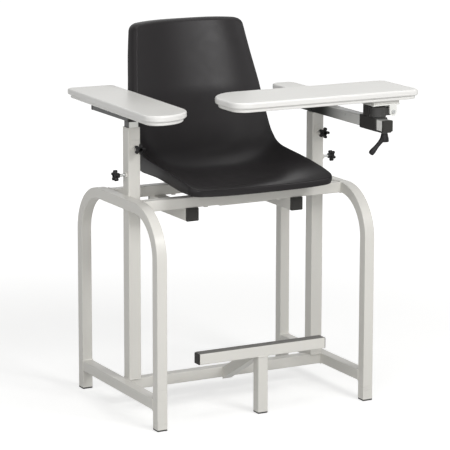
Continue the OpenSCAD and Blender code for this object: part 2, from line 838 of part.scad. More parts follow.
module left_arm_tube() { color(chrome) arm_tube(-1, fixed_bar_z); }
module right_arm_tube() { color(chrome) arm_tube(1, flip_bar_z); }

// Holes through a bar for the screws that hold what lies on it
module bar_screw_holes(x, ys, z) {
    for (y = ys)
        translate([x, y, z - over])
            cylinder(r = screw_r + bolt_gap, h = tube + 2 * over, $fn = round_fn);
}

// Pilot holes in a lower board layer
module pilot_holes(x, ys, z) {
    for (y = ys)
        translate([x, y, z - over])
            cylinder(r = screw_r + run_gap, h = over + board_base_t + over, $fn = round_fn);
}

// Screws from under a bar into the board above it
module bar_screws(x, ys, z) {
    for (y = ys) {
        translate([x, y, z - screw_head_t])
            cylinder(r = screw_head_r, h = screw_head_t, $fn = round_fn);
        translate([x, y, z - screw_head_t / 2])
            cylinder(r = screw_r, h = screw_head_t / 2 + tube + board_base_t - over,
                $fn = round_fn);
    }
}

module left_arm_bar() {
    color(chrome) difference() {
        translate([-bar_x, 0, fixed_bar_z + tube / 2])
            tube_y(tube, arm_wall, fixed_bar_y0, fixed_bar_rear);
        bar_screw_holes(-bar_x, fixed_screw_ys, fixed_bar_z);
    }
}

module left_bar_plugs() {
    color(black) translate([-bar_x, 0, fixed_bar_z + tube / 2]) {
        translate([0, fixed_bar_y0, 0]) rotate([90, 0, 0])
            tube_plug(tube, arm_wall, plug_flange);
        translate([0, fixed_bar_rear, 0]) rotate([-90, 0, 0])
            tube_plug(tube, arm_wall, plug_flange);
    }
}

fixed_board_x0 = -bar_x - fixed_board_w / 2;
fixed_board_x1 = -bar_x + fixed_board_w / 2;
fixed_board_y0 = fixed_board_rear - board_l;
fixed_radii = [fixed_outer_r, fixed_inner_r, board_blunt_r, board_blunt_r];

module fixed_layer(inset, z, t) {
    translate([-bar_x, fixed_screw_ys[0], 0]) rotate(-fixed_board_turn)
        translate([bar_x, -fixed_screw_ys[0], 0])
            board_layer(fixed_board_x0, fixed_board_x1, fixed_board_y0, fixed_board_rear,
                fixed_radii, inset, z, t);
}

module left_board_base() {
    color(laminate) difference() {
        fixed_layer(base_inset, fixed_board_z, board_base_t);
        pilot_holes(-bar_x, fixed_screw_ys, fixed_board_z);
    }
}

module left_board_top() {
    color(laminate) fixed_layer(0, fixed_board_z + board_base_t, board_top_t);
}

module left_board_screws() { color(steel) bar_screws(-bar_x, fixed_screw_ys, fixed_bar_z); }

module right_arm_bar() {
    color(chrome) difference() {
        translate([bar_x, 0, flip_bar_z + tube / 2])
            tube_y(tube, arm_wall, -flip_bar_front, flip_bar_rear);
        bar_screw_holes(bar_x, flip_screw_ys, flip_bar_z);
    }
}

module right_bar_plugs() {
    color(black) translate([bar_x, 0, flip_bar_z + tube / 2]) {
        translate([0, -flip_bar_front, 0]) rotate([90, 0, 0])
            tube_plug(tube, arm_wall, plug_flange);
        translate([0, flip_bar_rear, 0]) rotate([-90, 0, 0])
            tube_plug(tube, arm_wall, plug_flange);
    }
}

elbow_radii = [elbow_r, elbow_r, elbow_r, elbow_r];

module elbow_pad_base() {
    color(laminate) difference() {
        board_layer(bar_x - elbow_w / 2, bar_x + elbow_w / 2, elbow_rear - elbow_l, elbow_rear,
            elbow_radii, base_inset, flip_bar_top, board_base_t);
        pilot_holes(bar_x, flip_screw_ys, flip_bar_top);
    }
}

module elbow_pad_top() {
    color(laminate)
        board_layer(bar_x - elbow_w / 2, bar_x + elbow_w / 2, elbow_rear - elbow_l, elbow_rear,
            elbow_radii, 0, flip_bar_top + board_base_t, board_top_t);
}

module elbow_pad_screws() { color(steel) bar_screws(bar_x, flip_screw_ys, flip_bar_z); }

// Sleeve on the bar, with a tongue in front that carries the clamp lever
module slider_sleeve() {
    color(black) difference() {
        union() {
            translate([bar_x, 0, sleeve_mid_z])
                tube_y(sleeve_out, sleeve_wall, sleeve_y0, sleeve_y1);
            translate([bar_x - tube / 2, tongue_y0, sleeve_under])
                cube([tube, tongue_l + over, sleeve_wall]);
            translate([bar_x, lever_y, sleeve_under - lever_boss_h])
                cylinder(r = lever_boss_r, h = lever_boss_h + sleeve_wall / 2, $fn = round_fn);
        }
        translate([bar_x, lever_y, sleeve_under - lever_boss_h - over])
            cylinder(r = stud_r + run_gap, h = lever_boss_h + sleeve_wall + 2 * over,
                $fn = round_fn);
    }
}

// Stud on the sleeve's top that the swivel head turns on
module swivel_stud() {
    color(steel) {
        translate([bar_x, swivel_y, sleeve_top])
            cylinder(r = swivel_r, h = swivel_cap_seat + over / 2 - sleeve_top + over,
                $fn = round_fn);
        translate([bar_x, swivel_y, swivel_cap_seat + over / 2])
            cylinder(r = swivel_cap_r, h = swivel_cap_t - over / 2, $fn = round_fn);
    }
}

// Round swivel head with the hinge barrel outside and the rest block behind
module swivel_head() {
    color(black) translate([bar_x, swivel_y, 0]) difference() {
        union() {
            translate([0, 0, head_z]) cylinder(r = head_r, h = head_h, $fn = wide_fn);
            translate([rest_x0, rest_y0 - over, head_z])
                cube([rest_x1 - rest_x0, rest_y1 - rest_y0 + over,
                    bracket_z - seat_gap - head_z]);
            translate([0, -barrel_l / 2, hinge_z - barrel_r])
                cube([hinge_out, barrel_l, 2 * barrel_r]);
            translate([hinge_out, barrel_l / 2, hinge_z]) rotate([90, 0, 0])
                cylinder(r = barrel_r, h = barrel_l, $fn = round_fn);
        }
        translate([0, 0, head_z - over])
            cylinder(r = swivel_r + run_gap, h = head_h + 2 * over, $fn = round_fn);
        translate([0, 0, swivel_cap_seat])
            cylinder(r = swivel_cap_r + seat_gap, h = bracket_z, $fn = round_fn);
        translate([hinge_out, barrel_l / 2 + over, hinge_z]) rotate([90, 0, 0])
            cylinder(r = hinge_r + run_gap, h = barrel_l + 2 * over, $fn = round_fn);
    }
}

// Stud of the clamp lever: its tip stops just under the bar
module lever_stud() {
    tip = flip_bar_z - seat_gap;
    cap_top = lever_hub_top - lever_shoulder - lever_pull - seat_gap;
    color(steel) translate([bar_x, lever_y, 0]) {
        translate([0, 0, cap_top - lever_cap_t / 2])
            cylinder(r = stud_r, h = tip - cap_top + lever_cap_t / 2, $fn = round_fn);
        translate([0, 0, cap_top - lever_cap_t])
            cylinder(r = lever_cap_r, h = lever_cap_t, $fn = round_fn);
    }
}

// Lever handle: hub with a pocket for the stud's cap, sloping arm and grip
module lever_handle() {
    color(black) translate([bar_x, lever_y, lever_hub_low]) difference() {
        union() {
            cylinder(r1 = lever_hub_r, r2 = lever_hub_r - lever_hub_taper, h = lever_hub_h,
                $fn = round_fn);
            translate([0, 0, lever_arm_start]) rotate([0, 180 + lever_slope, 0]) {
                cylinder(r = lever_arm_r, h = lever_arm_l, $fn = round_fn);
                translate([0, 0, lever_arm_l - grip_l / 2])
                    cylinder(r = lever_grip_r, h = grip_l, $fn = round_fn);
            }
        }
        translate([0, 0, -over])
            cylinder(r = lever_pocket_r, h = lever_pocket_h + over, $fn = round_fn);
        translate([0, 0, -over])
            cylinder(r = stud_r + run_gap, h = lever_hub_h + 2 * over, $fn = round_fn);
    }
}

// Lug of the hinge bracket, seen along the flip axis
module lug(y) {
    translate([hinge_x, y + lug_t, hinge_z]) rotate([90, 0, 0])
        cylinder(r = lug_r, h = lug_t, $fn = round_fn);
    translate([hinge_x - lug_r, y, hinge_z]) cube([2 * lug_r, lug_t, bracket_z - hinge_z + over]);
}

module hinge_bracket() {
    color(paint) difference() {
        union() {
            translate([bracket_x0, bracket_y0, bracket_z])
                cube([bracket_x1 - bracket_x0, bracket_y1 - bracket_y0, bracket_t]);
            lug(lug_front_y);
            lug(lug_rear_y);
        }
        translate([hinge_x, lug_rear_y + lug_t + over, hinge_z]) rotate([90, 0, 0])
            cylinder(r = hinge_r + run_gap, h = barrel_l + 2 * lug_t + 2 * seat_gap + 2 * over,
                $fn = round_fn);
        for (p = bracket_screws)
            translate([p[0], p[1], bracket_z - over])
                cylinder(r = screw_r + bolt_gap, h = bracket_t + 2 * over, $fn = round_fn);
    }
}

// Hinge bolt with its head in front and its nut behind
module hinge_bolt() {
    color(steel) translate([hinge_x, 0, hinge_z]) {
        translate([0, lug_rear_y + lug_t + over, 0]) rotate([90, 0, 0])
            cylinder(r = hinge_r, h = lug_rear_y - lug_front_y + lug_t + 2 * over,
                $fn = round_fn);
        translate([0, lug_front_y, 0]) rotate([90, 0, 0])
            cylinder(r = bolt_head_r, h = bolt_head_t, $fn = nut_fn);
        translate([0, lug_rear_y + lug_t + bolt_head_t, 0]) rotate([90, 0, 0])
            cylinder(r = bolt_head_r, h = bolt_head_t, $fn = nut_fn);
    }
}

module hinge_packing() {
    color(laminate) difference() {
        translate([bracket_x0 + packing_margin, bracket_y0 + packing_margin, packing_z])
            cube([bracket_x1 - bracket_x0 - packing_margin,
                bracket_y1 - bracket_y0 - 2 * packing_margin, packing_t]);
        for (p = bracket_screws)
            translate([p[0], p[1], packing_z - over])
                cylinder(r = screw_r + run_gap, h = packing_t + 2 * over, $fn = round_fn);
    }
}

flip_radii = [flip_front_r, board_blunt_r, board_blunt_r, flip_rear_r];

module flip_board_base() {
    color(laminate) difference() {
        board_layer(flip_x0, flip_x1, flip_y0, flip_y1, flip_radii, base_inset,
            flip_board_z, board_base_t);
        for (p = bracket_screws)
            translate([p[0], p[1], flip_board_z - over])
                cylinder(r = screw_r + run_gap, h = over + board_base_t + over, $fn = round_fn);
    }
}

module flip_board_top() {
    color(laminate)
        board_layer(flip_x0, flip_x1, flip_y0, flip_y1, flip_radii, 0,
            flip_board_z + board_base_t, board_top_t);
}

// Screws from the hinge bracket up into the flip board
module flip_board_screws() {
    shank = bracket_t + packing_t + board_base_t - over;
    color(steel) for (p = bracket_screws) {
        translate([p[0], p[1], bracket_z - screw_head_t])
            cylinder(r = screw_head_r, h = screw_head_t, $fn = round_fn);
        translate([p[0], p[1], bracket_z - screw_head_t / 2])
            cylinder(r = screw_r, h = screw_head_t / 2 + shank, $fn = round_fn);
    }
}

// Clamp stud along Z: height zero is the post's face, and the stud's inner
// end stops level with the inside of the post's wall
module clamp_stud() {
    translate([0, 0, -post_wall])
        cylinder(r = stud_r, h = post_wall + knob_reach - knob_t / 2 + stud_into_knob,
            $fn = round_fn);
}

// Star knob along Z on the same stud: a boss toward the post, then five lobes
module star_knob() {
    lobe_r = knob_r * lobe_r_share;
    low = knob_reach - knob_t / 2;
    difference() {
        union() {
            translate([0, 0, low - knob_boss_t])
                cylinder(r = knob_boss_r, h = knob_boss_t + over, $fn = round_fn);
            translate([0, 0, low]) linear_extrude(knob_t) {
                circle(r = knob_r * knob_core_share, $fn = round_fn);
                for (k = [0:knob_lobes - 1]) rotate(360 * k / knob_lobes)
                    translate([knob_r - lobe_r, 0]) circle(r = lobe_r, $fn = round_fn);
            }
        }
        translate([0, 0, low - knob_boss_t - over])
            cylinder(r = stud_r + run_gap, h = knob_boss_t + over + stud_into_knob,
                $fn = round_fn);
    }
}

// Places a clamp on the outer face or on the front face of a post
module low_clamp(side) {
    translate([side * post_outer, low_knob_y, low_knob_z]) rotate([0, side * 90, 0]) children();
}

module high_clamp(side) {
    translate([side * post_x, post_front, high_knob_z]) rotate([90, 0, 0]) children();
}

module left_low_stud() { color(steel) low_clamp(-1) clamp_stud(); }
module left_low_knob() { color(black) low_clamp(-1) star_knob(); }
module left_high_stud() { color(steel) high_clamp(-1) clamp_stud(); }
module left_high_knob() { color(black) high_clamp(-1) star_knob(); }
module right_low_stud() { color(steel) low_clamp(1) clamp_stud(); }
module right_low_knob() { color(black) low_clamp(1) star_knob(); }
module right_high_stud() { color(steel) high_clamp(1) clamp_stud(); }
module right_high_knob() { color(black) high_clamp(1) star_knob(); }

left_arch();
right_arch();
left_side_rail();
right_side_rail();
lower_cross_rail();
left_post();
right_post();
front_seat_rail();
rear_seat_rail();
left_bearer();
right_bearer();
bearer_plugs();
front_strip();
foot_caps();
footrest_bar();
footrest_leg();
footrest_brace();
footrest_plugs();
footrest_tread();
knob_pads();
clamp_nuts();
seat_shell();
seat_spacers();
seat_bolts();
left_arm_tube();
left_arm_bar();
left_bar_plugs();
left_board_base();
left_board_top();
left_board_screws();
right_arm_tube();
right_arm_bar();
right_bar_plugs();
elbow_pad_base();
elbow_pad_top();
elbow_pad_screws();
slider_sleeve();
swivel_stud();
swivel_head();
lever_stud();
lever_handle();
hinge_bracket();
hinge_bolt();
hinge_packing();
flip_board_base();
flip_board_top();
flip_board_screws();
left_low_stud();
left_low_knob();
left_high_stud();
left_high_knob();
right_low_stud();
right_low_knob();
right_high_stud();
right_high_knob();
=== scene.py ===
"""Looks of the tall blood drawing chair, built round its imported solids.

Metres. Z is up, the sitter faces -Y and the origin is on the floor midway between the legs.
"""

import json
import logging
import math
from collections.abc import Callable, Sequence
from dataclasses import dataclass, field
from enum import Enum
from functools import cache

import bmesh
import bpy
from mathutils import Matrix, Vector

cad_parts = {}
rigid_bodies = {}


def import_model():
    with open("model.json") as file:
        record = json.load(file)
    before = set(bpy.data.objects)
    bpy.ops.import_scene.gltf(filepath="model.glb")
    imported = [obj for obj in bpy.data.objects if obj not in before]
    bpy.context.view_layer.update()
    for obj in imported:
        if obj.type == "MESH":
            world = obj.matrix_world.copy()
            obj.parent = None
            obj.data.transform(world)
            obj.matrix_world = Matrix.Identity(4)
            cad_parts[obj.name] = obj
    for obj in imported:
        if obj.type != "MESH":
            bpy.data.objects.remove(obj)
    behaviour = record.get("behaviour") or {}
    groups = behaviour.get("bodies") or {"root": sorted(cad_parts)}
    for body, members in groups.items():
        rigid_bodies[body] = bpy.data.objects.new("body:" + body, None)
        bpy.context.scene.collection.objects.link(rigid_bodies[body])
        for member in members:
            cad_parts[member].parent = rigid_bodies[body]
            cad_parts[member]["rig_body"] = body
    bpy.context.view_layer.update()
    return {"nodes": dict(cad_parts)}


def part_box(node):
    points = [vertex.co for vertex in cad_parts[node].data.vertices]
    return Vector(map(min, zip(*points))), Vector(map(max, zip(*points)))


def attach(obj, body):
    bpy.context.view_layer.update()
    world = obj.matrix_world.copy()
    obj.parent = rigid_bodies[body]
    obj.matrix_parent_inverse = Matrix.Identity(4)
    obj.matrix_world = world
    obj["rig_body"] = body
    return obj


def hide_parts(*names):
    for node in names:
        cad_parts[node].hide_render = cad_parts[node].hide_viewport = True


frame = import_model()

LOG = logging.getLogger("chair")
Place = tuple[float, float, float]
Shade = tuple[float, float, float]
Steps = tuple[tuple[float, float], ...]
Test = Callable[[Vector, Vector], bool]

CLOSE = 1e-5  # two places nearer than this are the same one
ALONG = 0.9  # an edge or normal whose share along an axis is above this runs along it
LEVEL = 0.1  # and one whose share of Z is below this lies level


class Side(Enum):
    """Sides of the chair as the viewer sees them."""

    LEFT = -1
    RIGHT = 1


class Facing(Enum):
    """Directions that a plug, a cap or a knob can point in."""

    DOWN = (0, 0, -1)
    FORWARD = (0, -1, 0)
    REARWARD = (0, 1, 0)
    LEFTWARD = (-1, 0, 0)
    RIGHTWARD = (1, 0, 0)

    def turn(self) -> Matrix:
        """Turns a piece that was made along +Z so that it points this way.

        Returns:
            The turn, which is the one that the solids' own clamps have.
        """
        x, y, z = self.value
        if z:
            return Matrix.Rotation(math.pi, 4, "X")
        if x:
            return Matrix.Rotation(x * math.pi / 2, 4, "Y")
        return Matrix.Rotation(-y * math.pi / 2, 4, "X")


# Modelling


class Bench:
    """Modelling moves that every sub-assembly shares."""

    @staticmethod
    def clear() -> None:
        """Leaves edit mode and deselects everything."""
        if bpy.context.object and bpy.context.object.mode != "OBJECT":
            bpy.ops.object.mode_set(mode="OBJECT")
        bpy.ops.object.select_all(action="DESELECT")

    @staticmethod
    def hold(piece: bpy.types.Object) -> None:
        """Makes one piece the only selected and active one."""
        Bench.clear()
        piece.select_set(True)
        bpy.context.view_layer.objects.active = piece

    @staticmethod
    def settle(piece: bpy.types.Object, place: Matrix | None = None) -> bpy.types.Object:
        """Moves a piece's place, turn and scale into its mesh.

        Args:
            piece: The piece to settle.
            place: Where to put it first, if it was made at the origin.

        Returns:
            The same piece.
        """
        Bench.hold(piece)
        if place is not None:
            piece.matrix_world = place
            bpy.context.view_layer.update()
        bpy.ops.object.transform_apply(location=True, rotation=True, scale=True)
        return piece

    @staticmethod
    def named(name: str) -> bpy.types.Object:
        """Names the primitive that was just added and moves its place into its mesh.

        Args:
            name: The piece's name.

        Returns:
            The piece.
        """
        piece = bpy.context.object
        piece.name = piece.data.name = name
        return Bench.settle(piece)

    @staticmethod
    def middle(node: str) -> Vector:
        """Middle of a solid's box."""
        low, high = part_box(node)
        return (low + high) / 2

    @staticmethod
    def block(name: str, low: Sequence[float], high: Sequence[float]) -> bpy.types.Object:
        """Adds a block between two corners.

        Args:
            name: Name of the piece.
            low: Lowest corner.
            high: Highest corner.

        Returns:
            The new block.
        """
        Bench.clear()
        a, b = Vector(low), Vector(high)
        bpy.ops.mesh.primitive_cube_add(size=1, location=(a + b) / 2, scale=b - a)
        return Bench.named(name)

    @staticmethod
    def turned(
        name: str, profile: Sequence[tuple[float, float]], sides: int = 48
    ) -> bpy.types.Object:
        """Adds a turned body along +Z by extruding a disc step by step.

        Args:
            name: Name of the piece.
            profile: Radius and height of each step, from the lowest up.
            sides: Number of sides round the body.

        Returns:
            The new closed body.
        """
        Bench.clear()
        radius, height = profile[0]
        bpy.ops.mesh.primitive_circle_add(
            vertices=sides, radius=radius, fill_type="NGON", location=(0, 0, height)
        )
        piece = Bench.named(name)
        bpy.ops.object.mode_set(mode="EDIT")
        bpy.ops.mesh.select_mode(type="FACE")
        bpy.ops.mesh.select_all(action="SELECT")
        for next_radius, next_height in profile[1:]:
            bpy.ops.mesh.extrude_region_move(
                TRANSFORM_OT_translate={"value": (0, 0, next_height - height)}
            )
            share = next_radius / radius
            bpy.ops.transform.resize(
                value=(share, share, 1), center_override=(0, 0, next_height)
            )
            radius, height = next_radius, next_height
        bpy.ops.mesh.select_all(action="SELECT")
        bpy.ops.mesh.normals_make_consistent(inside=False)
        Bench.clear()
        return piece

    @staticmethod
    def pick(piece: bpy.types.Object, kind: str, test: Test) -> int:
        """Enters edit mode and selects the edges or faces that pass a test.

        Args:
            piece: The piece to edit.
            kind: EDGE or FACE.
            test: Takes an edge's middle and direction, or a face's middle and normal.

        Returns:
            How many were selected.
        """
        Bench.hold(piece)
        bpy.ops.object.mode_set(mode="EDIT")
        bpy.ops.mesh.select_mode(type=kind)
        bpy.ops.mesh.select_all(action="DESELECT")
        mesh = bmesh.from_edit_mesh(piece.data)
        found = 0
        for part in mesh.edges if kind == "EDGE" else mesh.faces:
            if kind == "EDGE":
                a, b = (v.co for v in part.verts)
                passes = (b - a).length and test((a + b) / 2, (b - a).normalized())
            else:
                passes = test(part.calc_center_median(), part.normal)
            if passes:
                part.select_set(True)
                found += 1
        bmesh.update_edit_mesh(piece.data)
        return found

    @staticmethod
    def round_edges(
        piece: bpy.types.Object, test: Test, radius: float, steps: int
    ) -> None:
        """Rounds the edges that pass a test.

        Args:
            piece: The piece to edit.
            test: Takes an edge's middle and its direction.
            radius: Radius of the rounding.
            steps: Number of faces round it.
        """
        if Bench.pick(piece, "EDGE", test):
            bpy.ops.mesh.bevel(
                offset=radius, segments=steps, profile=0.5, affect="EDGES", clamp_overlap=False
            )
        Bench.clear()

    @staticmethod
    def round_corners(piece: bpy.types.Object, radius: float, steps: int) -> None:
        """Rounds the upright edges of a piece to a radius, in so many steps."""
        Bench.round_edges(piece, lambda m, d: abs(d.z) > ALONG, radius, steps)

    @staticmethod
    def round_rim(piece: bpy.types.Object, height: float, radius: float, steps: int) -> None:
        """Rounds the level edges of a piece at a height.

        Args:
            piece: The piece to edit.
            height: Height of the edges.
            radius: Radius of the rounding.
            steps: Number of faces round it.
        """
        Bench.round_edges(
            piece, lambda m, d: abs(m.z - height) < CLOSE and abs(d.z) < LEVEL, radius, steps
        )

    @staticmethod
    def sink(
        piece: bpy.types.Object, test: Test, inset: float, depth: float, draft: float = 0.00002
    ) -> None:
        """Insets the faces that pass a test and moves them along their normals.

        Args:
            piece: The piece to edit.
            test: Takes a face's middle and its normal.
            inset: Width of the border that stays.
            depth: How far the middle moves out, or in where it is negative.
            draft: How much narrower the moved faces get.
        """
        if Bench.pick(piece, "FACE", test):
            bpy.ops.mesh.inset(thickness=inset, depth=0)
            if depth:
                bpy.ops.mesh.inset(thickness=draft, depth=depth)
        Bench.clear()

    @staticmethod
    def modify(piece: bpy.types.Object, kind: str, **settings: object) -> None:
        """Adds a modifier, sets it and applies it.

        Args:
            piece: The piece to change.
            kind: The modifier's type.
            **settings: Its settings by name.
        """
        Bench.hold(piece)
        bpy.ops.object.modifier_add(type=kind)
        step = piece.modifiers[-1]
        for key, value in settings.items():
            setattr(step, key, value)
        bpy.ops.object.modifier_apply(modifier=step.name)

    @staticmethod
    def soften(piece: bpy.types.Object, width: float, steps: int = 3, angle: float = 40) -> None:
        """Rounds every edge that is sharper than an angle, and shades the piece.

        Args:
            piece: The piece to change.
            width: Width of the rounding.
            steps: Number of faces across it.
            angle: Angle in degrees from which an edge counts as sharp.
        """
        Bench.modify(
            piece, "BEVEL", width=width, segments=steps, limit_method="ANGLE",
            angle_limit=math.radians(angle), use_clamp_overlap=True,
        )
        Bench.shade(piece)

    @staticmethod
    def shade(piece: bpy.types.Object, angle: float = 35) -> None:
        """Shades a piece smooth across edges blunter than an angle, flats kept flat."""
        Bench.smooth(piece, angle)
        Bench.modify(piece, "WEIGHTED_NORMAL", keep_sharp=True, weight=60)

    @staticmethod
    def smooth(piece: bpy.types.Object, angle: float) -> None:
        """Shades a piece smooth across edges blunter than an angle."""
        Bench.hold(piece)
        bpy.ops.object.shade_smooth_by_angle(angle=math.radians(angle))

    @staticmethod
    def join(name: str, pieces: Sequence[bpy.types.Object]) -> bpy.types.Object:
        """Joins pieces into the first one and names it.

        Args:
            name: Name of the joined piece.
            pieces: The pieces to join.

        Returns:
            The joined piece.
        """
        Bench.hold(pieces[0])
        for piece in pieces:
            piece.select_set(True)
        if len(pieces) > 1:
            bpy.ops.object.join()
        pieces[0].name = pieces[0].data.name = name
        return pieces[0]

    @staticmethod
    def copy(piece: bpy.types.Object, name: str, place: Matrix) -> bpy.types.Object:
        """Copies a piece with a mesh of its own and puts the copy in its place.

        Args:
            piece: The piece to copy, made at the origin.
            name: Name of the copy.
            place: Where the copy goes.

        Returns:
            The copy, with its place in its mesh.
        """
        Bench.hold(piece)
        bpy.ops.object.duplicate()
        twin = bpy.context.object
        twin.name = twin.data.name = name
        return Bench.settle(twin, place)

    @staticmethod
    def remove(piece: bpy.types.Object) -> None:
        """Deletes a pattern piece once its copies are made."""
        Bench.hold(piece)
        bpy.ops.object.delete()

    @staticmethod
    def stand_in(
        piece: bpy.types.Object, finish: "Finish", slot: str, *nodes: str
    ) -> bpy.types.Object:
        """Dresses a piece and lets it stand for the solids that it replaces.

        Args:
            piece: The finished piece.
            finish: Its finish.
            slot: Material slot of the record; not used.
            *nodes: Names of the solids; the piece rides on the first one's body.

        Returns:
            The same piece.
        """
        if not piece.data.materials:
            piece.data.materials.append(finish.material())
        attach(piece, frame["nodes"][nodes[0]]["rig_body"])
        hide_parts(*nodes)
        LOG.info("%s stands for %s", piece.name, ", ".join(nodes))
        return piece


# Finishes


class Graph:
    """Adds and links nodes in one node tree."""

    def __init__(self, tree: bpy.types.NodeTree) -> None:
        """Keeps the tree that the nodes go into."""
        self.tree = tree

    def add(self, kind: str, settings: dict | None = None, **inputs: object) -> bpy.types.Node:
        """Adds a node, and sets its own settings and its inputs.

        Args:
            kind: Name of the node's type without its prefix.
            settings: The node's own settings by name.
            **inputs: A number or colour, or the output to link, for each input, with an
                underscore for each space in the input's name.

        Returns:
            The new node.
        """
        node = self.tree.nodes.new("ShaderNode" + kind)
        for key, value in (settings or {}).items():
            setattr(node, key, value)
        for key, value in inputs.items():
            self.feed(node.inputs[key.replace("_", " ")], value)
        return node

    def feed(self, socket: bpy.types.NodeSocket, value: object) -> None:
        """Links an output to an input, or sets the input to a number or colour.

        Args:
            socket: The input.
            value: The output, number or colour.
        """
        if isinstance(value, bpy.types.NodeSocket):
            self.tree.links.new(value, socket)
        else:
            socket.default_value = value

    def group(self, tree: bpy.types.NodeTree, **inputs: object) -> bpy.types.Node:
        """Places a shared effect, with a value for each of its inputs."""
        return self.add("Group", {"node_tree": tree}, **inputs)

    def sum(self, operation: str, *values: object) -> bpy.types.NodeSocket:
        """Adds a math node.

        Args:
            operation: The node's operation.
            *values: Up to three numbers or outputs.

        Returns:
            The node's output.
        """
        node = self.add("Math", {"operation": operation})
        for socket, value in zip(node.inputs, values):
            self.feed(socket, value)
        return node.outputs[0]

    def mix(self, share: object, first: object, second: object) -> bpy.types.NodeSocket:
        """Mixes two colours by a share.

        Args:
            share: Share of the second one, a number or an output.
            first: The first one.
            second: The second one.

        Returns:
            The mix.
        """
        node = self.add("Mix", {"data_type": "RGBA"})
        for socket, value in ((0, share), (6, first), (7, second)):
            self.feed(node.inputs[socket], value)
        return node.outputs[2]

    def blend(self, share: object, first: object, second: object) -> bpy.types.NodeSocket:
        """Mixes two numbers by a share.

        Args:
            share: Share of the second one, a number or an output.
            first: The first one.
            second: The second one.

        Returns:
            The mix.
        """
        node = self.add("Mix", {"data_type": "FLOAT"})
        for socket, value in ((0, share), (2, first), (3, second)):
            self.feed(node.inputs[socket], value)
        return node.outputs[0]

    def spread(self, value: bpy.types.NodeSocket, low: float, high: float) -> bpy.types.NodeSocket:
        """Maps a value between two limits smoothly onto 0 to 1.

        Args:
            value: The value.
            low: Limit that becomes 0.
            high: Limit that becomes 1.

        Returns:
            The mapped value.
        """
        smooth = {"interpolation_type": "SMOOTHSTEP"}
        return self.add("MapRange", smooth, Value=value, From_Min=low, From_Max=high).outputs[0]

    def where(self) -> bpy.types.NodeSocket:
        """Place on the object, in metres."""
        return self.add("TexCoord").outputs["Object"]


